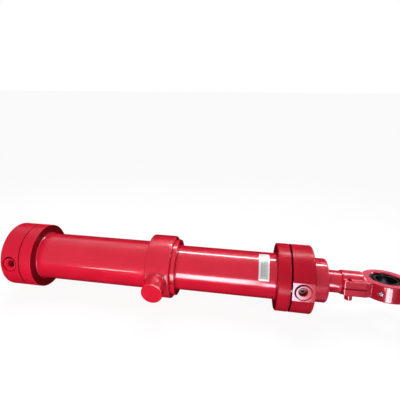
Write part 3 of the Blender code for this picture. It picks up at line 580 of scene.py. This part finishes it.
def barrel(finishes):
    finish = finishes["paint"]
    groove = TUBE_R_ROD - KEEPER_DEPTH
    tube = lathe("barrel_tube_fine", [
        (TUBE_START, BORE_R),
        (TUBE_START, TUBE_R_CAP),
        (SHOULDER_X, TUBE_R_CAP, EDGE),
        (SHOULDER_X, TUBE_R_ROD),
        (KEEPER_START - GAP, TUBE_R_ROD),
        (KEEPER_START - GAP, groove),
        (KEEPER_END + GAP, groove),
        (KEEPER_END + GAP, TUBE_R_ROD),
        (TUBE_END, TUBE_R_ROD),
        (TUBE_END, BORE_R),
    ], finish)
    stand_for(tube, "barrel_tube")
    for node, inner, outer, edges, leg in (
        ("cap_flange", TUBE_R_CAP, CAP_R, (0.0008, 0.0010), 0.0022),
        ("rod_flange", TUBE_R_ROD, HEAD_R, (0.0035, 0.0008), 0.0026),
    ):
        start, end = span(node)
        on_cap = node == "cap_flange"
        # The rod flange takes the rod head's red, darkened as painted shade; the cap flange keeps the full
        # red.
        ring = lathe(node + "_fine", [
            (start, inner + GAP),
            (start, outer, edges[0]),
            (end, outer, edges[1]),
            (end, inner + GAP),
        ], finishes["head_paint" if on_cap else "rod_head_paint_with_painted_shade"])
        # Painted shade: faces turned along X take a darker red, where less light reaches them.
        reface(ring, finishes["side_painted_shade"], lambda face: abs(face.normal.x) > 0.9)
        stand_for(ring, node)
        weld_bead(node + "_weld", end if on_cap else start, 1 if on_cap else -1, inner, leg, finish)


def weld_bead(name, x, side, tube_r, leg, finish):
    """Fillet weld in the corner between a flange face and the tube, with the ripples of its passes."""
    around = 240
    ripples = 62
    section = 8
    shape = bmesh.new()
    rings = []
    for k in range(around):
        turn = tau * k / around
        swell = 1.0 + 0.07 * sin(ripples * turn) + 0.04 * sin(7 * turn + 1.0)
        ring = []
        for j in range(section + 1):
            part = j / section * pi / 2
            reach = leg * swell
            along = reach * (1 - sin(part)) * 0.80 + reach * 0.20 * cos(part)
            rise = reach * (1 - cos(part)) * 0.80 + reach * 0.20 * sin(part)
            ring.append((x + side * along, tube_r + rise))
        ring.append((x, tube_r))
        rings.append([shape.verts.new((px, -r * sin(turn), r * cos(turn))) for px, r in ring])
    for first, second in zip(rings, rings[1:] + rings[:1]):
        for j in range(section + 2):
            k = (j + 1) % (section + 2)
            shape.faces.new((first[j], first[k], second[k], second[j]))
    mesh = closed_mesh(shape, name)
    smooth(mesh, 60)
    bead = add_object(name, mesh, finish)
    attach(bead, "barrel")


def screw_places():
    """Centres of the head screws, half a pitch away from the port."""
    pitch = tau / SCREW_COUNT
    first = PORT_ANGLE + pitch / 2
    return [
        Vector((0, -SCREW_CIRCLE_R * sin(first + pitch * k), SCREW_CIRCLE_R * cos(first + pitch * k)))
        for k in range(SCREW_COUNT)
    ]


def port_cutter(x, seat, inward, finish):
    """Spotface with a small root radius, a mouth chamfer and the threaded bore, as one turned tool."""
    tool = lathe("tool", [
        (seat + 0.02, 0),
        (seat + 0.02, SPOTFACE_R),
        (seat, SPOTFACE_R, 0.0004),
        (seat, PORT_R + 0.0022),
        (seat - 0.0022, PORT_R),
        (inward, PORT_R),
        (inward, 0),
    ], finish, MID_STEPS, closed=False)
    return bake(tool, radial(PORT_ANGLE, x) @ UPRIGHT)


def screw_cutter(face, place, inward, finish):
    tool = lathe("tool", [
        (-0.002, 0),
        (-0.002, SCREW_HEAD_R + 0.0028),
        (0.0008, SCREW_HEAD_R + 0.001),
        (COUNTERBORE_DEPTH, SCREW_HEAD_R + 0.001),
        (COUNTERBORE_DEPTH, SCREW_R + GAP),
        (0.04, SCREW_R + GAP),
        (0.04, 0),
    ], finish, SMALL_STEPS, closed=False)
    turn = Matrix.Identity(4) if inward > 0 else Matrix.Rotation(pi, 4, "Z")
    return bake(tool, Matrix.Translation((face, place.y, place.z)) @ turn)


def cap_head(finishes):
    finish = finishes["head_paint"]
    relief_len, relief_depth = CAP_RELIEF
    relief_start = CAP_HEAD_END - relief_len
    recess_x = 0.042
    head = lathe("cap_head_fine", [
        (0.0, 0),
        (0.0, CAP_R, 0.003),
        (relief_start, CAP_R, 0.0006),
        (relief_start, CAP_R - relief_depth),
        (CAP_HEAD_END, CAP_R - relief_depth),
        (CAP_HEAD_END, SPIGOT_R),
        (CAP_HEAD_END + 0.016, SPIGOT_R),
        (CAP_HEAD_END + 0.016, 0.034),
        (recess_x, 0.034),
        (recess_x, 0),
    ], finish, closed=False)
    cut(head, port_cutter(CAP_PORT_X, CAP_SEAT_R, 0.030, finish))
    for place in screw_places():
        cut(head, screw_cutter(0.0, place, 1, finish))
    true_normals(head, CAP_R)
    # Painted shade: the relief groove at the joint takes the darker red of the side faces.
    reface(head, finishes["side_painted_shade"], in_groove(relief_start, CAP_HEAD_END, 0.055, CAP_R - GAP))
    # Painted shadow: a dark crescent on the spotface floor at its upper side, where the wall's shade falls.
    middle = Vector((CAP_PORT_X - 0.0024, 0, 0)) + PORT_OUT * CAP_SEAT_R - PORT_UP * 0.0026
    port_paint_with_shadow = paint("enamel_with_painted_shadow_in_cap_port", ENAMEL, DULL_PEEL, HEAD_COAT, HEAD_SPECULAR)
    reface(head, painted_port_shadow(port_paint_with_shadow, middle, PORT_SHADOW_REACH), on_spotface(CAP_PORT_X, CAP_SEAT_R))
    stand_for(head, "cap_head")


def rod_head(finishes):
    # Painted shade: the rod head takes the red darkened for the light falling off towards the rod end; its
    # coat is also duller.
    finish = finishes["rod_head_paint_with_painted_shade"]
    start = ROD_FLANGE_END + GAP
    gland_seat_r = 0.0453
    chamber_r = 0.0365
    relief_len, relief_depth = ROD_RELIEF
    head = lathe("rod_head_fine", [
        (start - 0.020, chamber_r),
        (start - 0.020, SPIGOT_R),
        (start, SPIGOT_R),
        (start, HEAD_R - relief_depth),
        (start + relief_len, HEAD_R - relief_depth),
        (start + relief_len, HEAD_R, 0.0006),
        (ROD_HEAD_FACE, HEAD_R, 0.003),
        (ROD_HEAD_FACE, gland_seat_r),
        (ROD_HEAD_FACE - 0.017, gland_seat_r),
        (ROD_HEAD_FACE - 0.017, chamber_r),
    ], finish)
    flat_start = start + relief_len - 0.001
    flat_end = ROD_HEAD_FACE + 0.01
    wide = 0.06
    ends = [(flat_start, -wide), (flat_end, -wide), (flat_end, wide), (flat_start, wide)]
    cut(head, bake(prism("tool", ends, PORT_FLAT_R, PORT_FLAT_R + 0.03, finish), radial(PORT_ANGLE)))
    cut(head, port_cutter(ROD_PORT_X, ROD_SEAT_R, 0.040, finish))
    for place in screw_places():
        cut(head, screw_cutter(ROD_HEAD_FACE, place, -1, finish))
    true_normals(head, HEAD_R, PORT_OUT)
    # Painted shade: the relief groove at the joint gets near-black enamel where its shade falls.
    reface(head, finishes["groove_painted_shade"], in_groove(start, start + relief_len, 0.055, HEAD_R - GAP))
    reface(head, finishes["paint"], lambda face: face.normal.dot(PORT_OUT) > 0.9999)
    # Painted shadow: a dark crescent on the spotface floor at its upper side, where the wall's shade falls.
    middle = Vector((ROD_PORT_X + 0.0020, 0, 0)) + PORT_OUT * ROD_SEAT_R - PORT_UP * 0.0026
    port_paint_with_shadow = paint("enamel_with_painted_shadow_in_rod_port", ENAMEL, GLOSS_PEEL)
    reface(head, painted_port_shadow(port_paint_with_shadow, middle, PORT_SHADOW_REACH), on_spotface(ROD_PORT_X, ROD_SEAT_R))
    stand_for(head, "rod_head")


def port_plug(node, x, top, finish):
    radius = PORT_R - GAP
    plug = lathe(node + "_fine", [
        (top - 0.012, 0),
        (top - 0.012, radius),
        (top, radius, 0.0008),
        (top, 0),
    ], finish, SMALL_STEPS, closed=False)
    bake(plug, UPRIGHT)
    cut(plug, prism("tool", polygon(6, 0.0058), top - 0.006, top + 0.01, finish))
    stand_for(bake(plug, radial(PORT_ANGLE, x)), node)


def socket_screw(name, length, finish):
    """Cap screw with its head's underside at z = 0 and its shank down -Z."""
    head_h = 2 * SCREW_R
    screw = lathe(name, [
        (-length, 0),
        (-length, SCREW_R, 0.0008),
        (0, SCREW_R),
        (0, SCREW_HEAD_R, 0.0003),
        (head_h, SCREW_HEAD_R, 0.0009),
        (head_h, 0.0066),
        (head_h - 0.0006, 0.0060),
        (head_h - 0.0006, 0),
    ], finish, SMALL_STEPS, closed=False)
    bake(screw, UPRIGHT)
    return cut(screw, prism("tool", polygon(6, 0.0058), head_h - 0.006, head_h + 0.005, finish))


def head_screws(finishes):
    for label, face, direction, body in (
        ("cap_head_screw", 0.0, -1, CAP_HEAD_END),
        ("rod_head_screw", ROD_HEAD_FACE, 1, 0.057),
    ):
        pattern = socket_screw("pattern", body - COUNTERBORE_DEPTH + 0.016, finishes["cast_paint"])
        mesh = pattern.data
        bpy.data.objects.remove(pattern, do_unlink=True)
        mesh.transform(Matrix.Rotation(direction * pi / 2, 4, "Y"))
        seat = face - direction * (COUNTERBORE_DEPTH - GAP)
        for number, place in enumerate(screw_places(), start=1):
            node = f"{label}_{number}"
            screw = bpy.data.objects.new(node + "_fine", mesh)
            bpy.context.scene.collection.objects.link(screw)
            screw.location = (seat, place.y, place.z)
            screw.rotation_euler = (0.7 * number, 0, 0)
            stand_for(screw, node)


def nose(finishes):
    start = ROD_HEAD_FACE + GAP
    gland = lathe("gland_fine", [
        (start - 0.017, 0.0333),
        (start - 0.017, 0.045),
        (start, 0.045),
        (start, NOSE_R, 0.0006),
        (NOSE_END, NOSE_R, 0.004),
        (NOSE_END, 0.0345, 0.0006),
        (NOSE_END - 0.0085, 0.0345),
        (NOSE_END - 0.0085, ROD_R + 0.0008),
        (NOSE_END - 0.0290, ROD_R + 0.0008),
        (NOSE_END - 0.0290, 0.0333),
    ], finishes["paint"])
    stand_for(gland, "gland")
    inner = ROD_R + GAP
    wiper = lathe("rod_wiper_fine", [
        (NOSE_END - 0.0082, inner + 0.0006),
        (NOSE_END - 0.0082, 0.0342),
        (NOSE_END - 0.0010, 0.0342, 0.0004),
        (NOSE_END + 0.0004, 0.0318, 0.0004),
        (NOSE_END + 0.0020, inner + 0.0010, 0.0003),
        (NOSE_END + 0.0020, inner),
        (NOSE_END - 0.0020, inner + 0.0010),
    ], finishes["rubber"], MID_STEPS)
    stand_for(wiper, "rod_wiper")


# Trunnion.

def pin_skirt(finish, side):
    """One trunnion pin with a chamfered end and a root fillet that runs out on the collar's round side."""
    around = 120
    root_fillet = 0.0045
    fillet_steps = 7
    centre_x = (COLLAR_START + COLLAR_END) / 2
    inner_y = 0.072
    chamfer = 0.0016
    shoulder = TRUNNION_HALF - chamfer
    side_steps = 5
    shape = bmesh.new()
    rings = []
    for k in range(around):
        turn = tau * k / around
        height = sin(turn)

        def surface(reach):
            return sqrt(COLLAR_R ** 2 - (reach * height) ** 2)

        foot = Vector((TRUNNION_R + root_fillet, surface(TRUNNION_R + root_fillet) - GAP))
        corner = Vector((TRUNNION_R, surface(TRUNNION_R)))
        top = Vector((TRUNNION_R, surface(TRUNNION_R) + root_fillet))
        profile = [Vector((0, inner_y)), Vector((TRUNNION_R + root_fillet, inner_y))]
        for step in range(fillet_steps + 1):
            t = step / fillet_steps
            profile.append(foot * (1 - t) ** 2 + corner * 2 * t * (1 - t) + top * t ** 2)
        for step in range(1, side_steps):
            profile.append(Vector((TRUNNION_R, top.y + (shoulder - top.y) * step / side_steps)))
        profile += [Vector(point) for point in (
            (TRUNNION_R, shoulder - SUPPORT),
            (TRUNNION_R, shoulder),
            (TRUNNION_R - chamfer * 0.3, TRUNNION_HALF - chamfer * 0.3),
            (TRUNNION_R - chamfer, TRUNNION_HALF),
            (TRUNNION_R - chamfer - SUPPORT, TRUNNION_HALF),
            (0, TRUNNION_HALF),
        )]
        places = [(centre_x + p.x * cos(turn), side * p.y, p.x * height) for p in profile]
        rings.append([shape.verts.new(place) for place in places])
    for first, second in zip(rings, rings[1:] + rings[:1]):
        for j in range(len(first) - 1):
            shape.faces.new((first[j], first[j + 1], second[j + 1], second[j]))
    bmesh.ops.remove_doubles(shape, verts=shape.verts, dist=1e-6)
    return add_object("tool", closed_mesh(shape, "tool"), finish)


def trunnion(finishes):
    finish = finishes["cast_paint"]
    collar_edge = 0.004
    collar = lathe("trunnion_collar_fine", [
        (COLLAR_START, TUBE_R_ROD + GAP),
        (COLLAR_START, COLLAR_R, collar_edge),
        (COLLAR_END, COLLAR_R, collar_edge),
        (COLLAR_END, TUBE_R_ROD + GAP),
    ], finish)
    for side in (-1, 1):
        combine(collar, pin_skirt(finish, side), "UNION")
    stand_for(collar, "trunnion_collar")
    inner = TUBE_R_ROD - KEEPER_DEPTH + GAP
    for label, start in (("front", KEEPER_JOINT - pi), ("rear", KEEPER_JOINT)):
        half = lathe("keeper_ring_" + label + "_fine", [
            (KEEPER_START, inner),
            (KEEPER_START, KEEPER_R, EDGE),
            (KEEPER_END, KEEPER_R, EDGE),
            (KEEPER_END, inner),
        ], finish, ROUND_STEPS // 2, sweep=pi - KEEPER_OPENING, start=start + KEEPER_OPENING / 2)
        stand_for(half, "keeper_ring_" + label)


def nameplate(finishes):
    """Rolled plate with rounded corners and a raised border."""
    inner = TUBE_R_ROD + GAP
    thickness = 0.0006
    rim = 0.00025
    steps_x = 26
    steps_arc = 74
    start, end = PLATE_ARC
    corner = 0.0022
    width = PLATE_END - PLATE_START
    length = (end - start) * inner
    shape = bmesh.new()

    def squeeze(u, v):
        """Keep a point of the rectangle inside its rounded corners."""
        x, y = abs(u) - (width / 2 - corner), abs(v) - (length / 2 - corner)
        if x > 0 and y > 0:
            reach = sqrt(x * x + y * y)
            largest = max(x, y)
            x, y = x / reach * largest, y / reach * largest
            u = (1 if u > 0 else -1) * (width / 2 - corner + x)
            v = (1 if v > 0 else -1) * (length / 2 - corner + y)
        return u, v

    def sheet(radius, raised):
        rows = []
        for i in range(steps_x + 1):
            row = []
            for j in range(steps_arc + 1):
                u = width * (i / steps_x - 0.5)
                v = length * (j / steps_arc - 0.5)
                edge = min(width / 2 - abs(u), length / 2 - abs(v))
                lift = rim if raised and 0.0004 < edge < 0.0021 else 0.0
                u, v = squeeze(u, v)
                turn = (start + end) / 2 + v / inner
                reach = radius + lift
                place = ((PLATE_START + PLATE_END) / 2 + u, -reach * sin(turn), reach * cos(turn))
                row.append(shape.verts.new(place))
            rows.append(row)
        for i in range(steps_x):
            for j in range(steps_arc):
                shape.faces.new((rows[i][j], rows[i + 1][j], rows[i + 1][j + 1], rows[i][j + 1]))
        border = [rows[i][0] for i in range(steps_x)] + [rows[-1][j] for j in range(steps_arc)]
        border += [rows[i][-1] for i in range(steps_x, 0, -1)]
        border += [rows[0][j] for j in range(steps_arc, 0, -1)]
        return border

    under = sheet(inner, False)
    upper = sheet(inner + thickness - rim, True)
    for k in range(len(under)):
        n = (k + 1) % len(under)
        shape.faces.new((under[k], under[n], upper[n], upper[k]))
    mesh = closed_mesh(shape, "nameplate_fine")
    smooth(mesh, 50)
    stand_for(add_object("nameplate_fine", mesh, finishes["plate"]), "nameplate")


# Rod side.

def rod(finishes):
    """Chromed rod; the length that stands out of the gland at rest was sprayed with the rest."""
    thread = 0.021
    seat_x = 0.1041
    film = 0.00015
    near = 0.0001
    start = span("piston_rod")[0]
    sprayed = NOSE_END + 0.0030
    shoulder = EYE_FACE - GAP
    piece = lathe("piston_rod_fine", [
        (start, 0),
        (start, thread, 0.0012),
        (start + seat_x, thread),
        (start + seat_x, ROD_R, 0.0008),
        (sprayed, ROD_R),
        (sprayed + 2 * film, ROD_R + film),
        (shoulder, ROD_R + film, 0.001),
        (shoulder, thread),
        (EYE_FACE + 0.042, thread, 0.0012),
        (EYE_FACE + 0.042, 0),
    ], finishes["chrome"], closed=False)
    reface(piece, finishes["cast_paint"], lambda face: sprayed - near < face.center.x < shoulder + near)
    stand_for(piece, "piston_rod")


def eye_frame():
    return Matrix.Translation((EYE_X, 0, 0)) @ Matrix.Rotation(EYE_ROLL, 4, "X")


def eye_blank(finish):
    """Ring, shank and clamp in one: joined, remeshed finely and relaxed like a forging under paint."""
    reach = EYE_X - EYE_FACE
    blank = bake(lathe("rod_eye_fine", [
        (-EYE_HALF - 0.0015, 0),
        (-EYE_HALF - 0.0015, EYE_R, 0.003),
        (EYE_HALF + 0.0015, EYE_R, 0.003),
        (EYE_HALF + 0.0015, 0),
    ], finish, closed=False), UPRIGHT)
    shank = lathe("tool", [
        (-reach, 0),
        (-reach, SHANK_R, 0.0015),
        (-CLAMP_END - 0.004, SHANK_R, 0.004),
        (-CLAMP_END + 0.018, EYE_HALF + 0.0005),
        (-CLAMP_END + 0.018, 0),
    ], finish, MID_STEPS, closed=False)
    combine(blank, shank, "UNION")
    block = prism("tool", [
        (-reach, 0),
        (-reach, -CLAMP_REACH),
        (-CLAMP_END - 0.002, -CLAMP_REACH),
        (-CLAMP_END + 0.018, -CLAMP_REACH + 0.008),
        (-CLAMP_END + 0.018, 0),
    ], -CLAMP_HALF, CLAMP_HALF, finish)
    combine(blank, block, "UNION")
    grain = blank.modifiers.new("grain", "REMESH")
    grain.mode = "VOXEL"
    grain.voxel_size = 0.0012
    relax = blank.modifiers.new("relax", "SMOOTH")
    relax.factor = 0.5
    relax.iterations = 6
    settle(blank)
    return blank


def rod_eye(finishes):
    finish = finishes["cast_paint"]
    reach = EYE_X - EYE_FACE
    eye = eye_blank(finish)
    for side in (1, -1):
        shave = lathe("tool", [
            (EYE_HALF, 0),
            (EYE_HALF, EYE_R + 0.003),
            (EYE_HALF + 0.02, EYE_R + 0.003),
            (EYE_HALF + 0.02, 0),
        ], finish, EYE_STEPS, closed=False)
        cut(eye, bake(shave, UPRIGHT if side > 0 else Matrix.Rotation(pi / 2, 4, "Y")))
    bore = BEARING_R + GAP
    groove = bore + 0.0018
    clip = BEARING_HALF + 0.003
    bearing_seat = lathe("tool", [
        (-EYE_HALF - 0.005, 0),
        (-EYE_HALF - 0.005, bore + 0.0072),
        (-EYE_HALF + 0.0022, bore),
        (-clip, bore),
        (-clip, groove),
        (-BEARING_HALF, groove),
        (-BEARING_HALF, bore),
        (BEARING_HALF, bore),
        (BEARING_HALF, groove),
        (clip, groove),
        (clip, bore),
        (EYE_HALF - 0.0022, bore),
        (EYE_HALF + 0.005, bore + 0.0072),
        (EYE_HALF + 0.005, 0),
    ], finish, EYE_STEPS, closed=False)
    cut(eye, bake(bearing_seat, UPRIGHT))
    thread = lathe("tool", [
        (-reach - 0.01, 0),
        (-reach - 0.01, 0.0213),
        (-reach + 0.046, 0.0213),
        (-reach + 0.056, 0),
    ], finish, MID_STEPS, closed=False)
    cut(eye, thread)
    before, deepest = -reach - 0.01, -CLAMP_END + 0.001
    slit = [(before, -0.06), (deepest, -0.06), (deepest, 0.0), (before, 0.0)]
    cut(eye, prism("tool", slit, -SLIT / 2, SLIT / 2, finish))
    hole = prism("tool", polygon(SMALL_STEPS, SCREW_R + GAP), -0.05, 0.05, finish)
    cut(eye, bake(hole, Matrix.Translation((CLAMP_SCREW_X, CLAMP_SCREW_Y, 0))))
    sink = prism("tool", polygon(SMALL_STEPS, SCREW_HEAD_R + 0.001), -0.05, -CLAMP_HALF, finish)
    cut(eye, bake(sink, Matrix.Translation((CLAMP_SCREW_X, CLAMP_SCREW_Y, 0))))
    nipple = Matrix.Rotation(pi + NIPPLE_ANGLE, 4, "Z")
    seat = EYE_R - NIPPLE_SEAT_DEPTH
    drilled = lathe("tool", [
        (seat - 0.010, 0),
        (seat - 0.010, 0.0033),
        (seat, 0.0033),
        (seat, NIPPLE_SEAT_R),
        (EYE_R + 0.02, NIPPLE_SEAT_R),
        (EYE_R + 0.02, 0),
    ], finish, SMALL_STEPS, closed=False)
    cut(eye, bake(drilled, nipple))
    bake(eye, eye_frame())
    smooth(eye.data, 40)
    stand_for(eye, "rod_eye")


def eye_clamp_screw(finishes):
    screw = socket_screw("eye_clamp_screw_fine", 2 * CLAMP_HALF - 0.006, finishes["cast_paint"])
    seat = Matrix.Translation((CLAMP_SCREW_X, CLAMP_SCREW_Y, -CLAMP_HALF - GAP))
    stand_for(bake(screw, eye_frame() @ seat @ Matrix.Rotation(pi, 4, "X")), "eye_clamp_screw")


def grease_nipple(finishes):
    seat = EYE_R - NIPPLE_SEAT_DEPTH + GAP
    nipple = lathe("grease_nipple_fine", [
        (seat - 0.006, 0),
        (seat - 0.006, 0.0030),
        (seat + 0.0060, 0.0030),
        (seat + 0.0070, 0.0036, 0.0004),
        (seat + 0.0088, 0.0036, 0.0004),
        (seat + 0.0100, 0.0026, 0.0005),
        (seat + 0.0112, 0.0036, 0.0006),
        (seat + 0.0130, 0.0023, 0.0005),
        (seat + 0.0130, 0),
    ], finishes["zinc"], SMALL_STEPS, closed=False)
    hexagon = prism("tool", polygon(6, 0.0060), seat + 0.0003, seat + 0.0062, finishes["zinc"])
    bake(hexagon, Matrix.Rotation(pi / 2, 4, "Y"))
    combine(nipple, hexagon, "UNION")
    turn = Matrix.Rotation(pi + NIPPLE_ANGLE, 4, "Z")
    stand_for(bake(nipple, eye_frame() @ turn), "grease_nipple")


def bearing(finishes):
    race = BALL_R + 2 * GAP
    arc_steps = 16
    race_arc = [(BEARING_HALF - 2 * BEARING_HALF * k / arc_steps) for k in range(arc_steps + 1)]
    outer = lathe("eye_bearing_outer_ring_fine", [
        (-BEARING_HALF, BEARING_R, 0.001),
        (BEARING_HALF, BEARING_R, 0.001),
        *[(x, sqrt(race ** 2 - x ** 2)) for x in race_arc],
    ], finishes["black"], EYE_STEPS)
    stand_for(bake(outer, eye_frame() @ UPRIGHT), "eye_bearing_outer_ring")
    ball_arc = [(-BALL_HALF + 2 * BALL_HALF * k / arc_steps) for k in range(arc_steps + 1)]
    ball = lathe("eye_bearing_ball_fine", [
        *[(x, sqrt(BALL_R ** 2 - x ** 2)) for x in ball_arc],
        (BALL_HALF, BALL_BORE_R, 0.0008),
        (-BALL_HALF, BALL_BORE_R, 0.0008),
    ], finishes["black"], EYE_STEPS)

    def greased(face):
        from_axis = sqrt(face.center.y ** 2 + face.center.z ** 2)
        return from_axis < BALL_BORE_R + 0.0001 or face.center.length > BALL_R - 0.0002

    reface(ball, finishes["dark_ball"], greased)
    stand_for(bake(ball, eye_frame() @ UPRIGHT), "eye_bearing_ball")
    inner = BEARING_R - 0.0032
    outer_r = BEARING_R + 0.0012
    opening = radians(16)
    edge = 0.0003
    for label, sign in (("upper", 1), ("lower", -1)):
        low, high = sorted((sign * (BEARING_HALF + GAP), sign * (BEARING_HALF + 0.0027)))
        clip = lathe("eye_circlip_" + label + "_fine", [
            (low, inner, edge),
            (low, outer_r, edge),
            (high, outer_r, edge),
            (high, inner, edge),
        ], finishes["black"], CLIP_STEPS, sweep=tau - opening, start=opening / 2)
        stand_for(bake(clip, eye_frame() @ UPRIGHT), "eye_circlip_" + label)


def inner_pieces(finishes):
    """The sealed inner pieces keep their CAD meshes and get their own materials."""
    for material_name, nodes in {
        "steel": ("piston", "piston_nut"),
        "rubber": ("piston_o_ring", "gland_o_ring", "cap_head_o_ring", "rod_head_o_ring"),
        "urethane": ("piston_seal", "rod_seal"),
        "resin": ("piston_guide_ring_cap_side", "piston_guide_ring_rod_side"),
        "bronze": ("rod_guide_bush",),
    }.items():
        for node in nodes:
            mesh = frame["nodes"][node].data
            mesh.materials.clear()
            mesh.materials.append(finishes[material_name])


# Stage.

def rise(tree, value, low, high):
    """Smooth step from 0 at low to 1 at high."""
    step = tree.nodes.new("ShaderNodeMapRange")
    step.interpolation_type = "SMOOTHSTEP"
    step.inputs["From Min"].default_value = low
    step.inputs["From Max"].default_value = high
    tree.links.new(value, step.inputs["Value"])
    return step.outputs["Result"]


def band(tree, value, low, high, soft):
    """1 between low and high degrees round the X axis, with soft sides."""
    up = rise(tree, value, radians(low - soft), radians(low + soft))
    down = rise(tree, value, radians(high + soft), radians(high - soft))
    return math(tree, "MULTIPLY", up, down)


def glow(tree, colour, strength):
    made = tree.nodes.new("ShaderNodeBackground")
    made.inputs["Color"].default_value = (*colour, 1.0)
    if isinstance(strength, (int, float)):
        made.inputs["Strength"].default_value = strength
    else:
        tree.links.new(strength, made.inputs["Strength"])
    return made.outputs["Background"]


def join(tree, kind, *shaders):
    """Add Shader or Mix Shader; the first socket of a mix is its factor."""
    step = tree.nodes.new(kind)
    for socket, value in zip(step.inputs, shaders):
        tree.links.new(value, socket)
    return step.outputs["Shader"]


# Lamps that only the gloss sees: colour, strength, degrees round X (low, high, softness), and the smooth
# steps along the direction's X part that end the lamp.
GLOSS_LAMPS = (
    ((1.0, 0.95, 0.98), 30.0, (-31.5, -25.5, 1.2), ((-0.24, -0.18),)),
    ((1.0, 0.95, 0.98), 0.35, (-48.5, -28.5, 8), ((-0.25, -0.42),)),
    ((0.90, 0.92, 1.0), 19.0, (89.5, 111.5, 4), ((-0.26, -0.16), (0.10, 0.00))),
    ((0.62, 0.84, 1.0), 19.0, (99.0, 114.0, 3), ((0.06, 0.09), (0.215, 0.16))),
    ((1.0, 0.95, 1.0), 30.0, (99.5, 101.5, 0.8), ((-0.47, -0.40), (-0.29, -0.33))),
    ((0.90, 0.45, 0.62), 1.0, (-100.0, -62.0, 8), ((0.24, 0.36),)),
    ((0.75, 0.65, 1.0), 0.8, (121.5, 173.5, 14), ((0.05, 0.40),)),
)


def world():
    """Soft studio surroundings. The camera sees plain white; gloss sees a ceiling and the gloss lamps."""
    made = bpy.data.worlds.new("studio")
    bpy.context.scene.world = made
    made.use_nodes = True
    tree = made.node_tree
    tree.nodes.clear()
    place = tree.nodes.new("ShaderNodeTexCoord")
    way = tree.nodes.new("ShaderNodeSeparateXYZ")
    tree.links.new(place.outputs["Generated"], way.inputs["Vector"])
    turn = math(tree, "ARCTAN2", math(tree, "MULTIPLY", way.outputs["Y"], -1.0), way.outputs["Z"])
    lengthwise = way.outputs["X"]

    overhead = math(tree, "MULTIPLY", band(tree, turn, -52.5, 103.5, 4), 0.46)
    gloss = glow(tree, (0.94, 0.84, 1.0), overhead)
    for colour, strength, (low, high, soft_side), ends in GLOSS_LAMPS:
        shape = band(tree, turn, low, high, soft_side)
        for end in ends:
            shape = math(tree, "MULTIPLY", shape, rise(tree, lengthwise, *end))
        lamp = glow(tree, colour, math(tree, "MULTIPLY", shape, strength))
        gloss = join(tree, "ShaderNodeAddShader", gloss, lamp)

    path = tree.nodes.new("ShaderNodeLightPath")
    endwise = rise(tree, math(tree, "ABSOLUTE", lengthwise), 0.80, 0.25)
    soft = glow(tree, (1.0, 0.98, 0.97), math(tree, "MULTIPLY_ADD", endwise, 0.12, 0.17))
    lit = join(tree, "ShaderNodeMixShader", path.outputs["Is Glossy Ray"], soft, gloss)
    white = glow(tree, (1.0, 1.0, 1.0), 1.0)
    seen = join(tree, "ShaderNodeMixShader", path.outputs["Is Camera Ray"], lit, white)
    output = tree.nodes.new("ShaderNodeOutputWorld")
    tree.links.new(seen, output.inputs["Surface"])


def softbox(name, at, aim, size, power, spread):
    """Rectangular lamp that only lights; its own shape doesn't show in the gloss or to the camera."""
    lamp = bpy.data.lights.new(name, "AREA")
    lamp.shape = "RECTANGLE"
    lamp.size, lamp.size_y = size
    lamp.spread = radians(spread)
    lamp.energy = power
    made = bpy.data.objects.new(name, lamp)
    bpy.context.scene.collection.objects.link(made)
    made.location = at
    made.rotation_euler = (Vector(aim) - Vector(at)).to_track_quat("-Z", "Y").to_euler()
    made.visible_camera = False
    made.visible_glossy = False
    return made


def stage(centre):
    shape = bmesh.new()
    bmesh.ops.create_grid(shape, x_segments=8, y_segments=8, size=9.0)
    mesh = bpy.data.meshes.new("floor")
    shape.to_mesh(mesh)
    shape.free()
    made, tree, shader = new_material("pale_floor")
    tone = ramp(tree, noise(tree, 3.0), [(0.3, (0.09, 0.09, 0.09)), (0.7, (0.11, 0.11, 0.11))])
    tree.links.new(tone, shader.inputs["Base Color"])
    shader.inputs["Emission Color"].default_value = (1.0, 1.0, 1.0, 1.0)
    shader.inputs["Emission Strength"].default_value = 0.93
    shader.inputs["Roughness"].default_value = 0.9
    shader.inputs["Specular IOR Level"].default_value = 0.0
    floor = add_object("floor", mesh, made)
    floor.location = (centre.x, centre.y, FLOOR_Z - 0.0005)
    floor.visible_glossy = False
    floor.visible_diffuse = False
    softbox("overhead", (0.40, 0.55, 1.20), (0.45, 0, 0), (1.8, 0.7), 5.8, 90)
    softbox("overhead_wide", (0.40, 0.55, 1.20), (0.45, 0, 0), (1.8, 0.7), 1.0, 180)
    softbox("front_low", (0.30, -1.10, -0.06), (0.30, 0, 0), (1.0, 0.15), 4.3, 90)


def camera():
    lens = bpy.data.cameras.new("camera")
    lens.lens = CAMERA_LENS
    lens.sensor_width = 36.0
    lens.shift_x, lens.shift_y = CAMERA_SHIFT
    made = bpy.data.objects.new("camera", lens)
    bpy.context.scene.collection.objects.link(made)
    made.location = CAMERA_AT
    look = (CAMERA_AIM - CAMERA_AT).to_track_quat("-Z", "Y")
    made.rotation_mode = "QUATERNION"
    made.rotation_quaternion = look @ Matrix.Rotation(CAMERA_ROLL, 3, "Z").to_quaternion()
    bpy.context.scene.camera = made


def main():
    finishes = make_finishes()
    camera()
    barrel(finishes)
    cap_head(finishes)
    rod_head(finishes)
    # Painted shade: the plugs get a dark dull red for the shade deep in the port bores.
    port_plug("cap_port_plug", CAP_PORT_X, CAP_SEAT_R - PLUG_RECESS, finishes["plug_painted_shade"])
    port_plug("rod_port_plug", ROD_PORT_X, ROD_SEAT_R - PLUG_RECESS, finishes["plug_painted_shade"])
    head_screws(finishes)
    nose(finishes)
    trunnion(finishes)
    nameplate(finishes)
    rod(finishes)
    rod_eye(finishes)
    eye_clamp_screw(finishes)
    grease_nipple(finishes)
    bearing(finishes)
    inner_pieces(finishes)
    low, high = cad_box
    stage((low + high) / 2)
    world()
    bpy.context.scene.view_settings.view_transform = "Standard"


main()
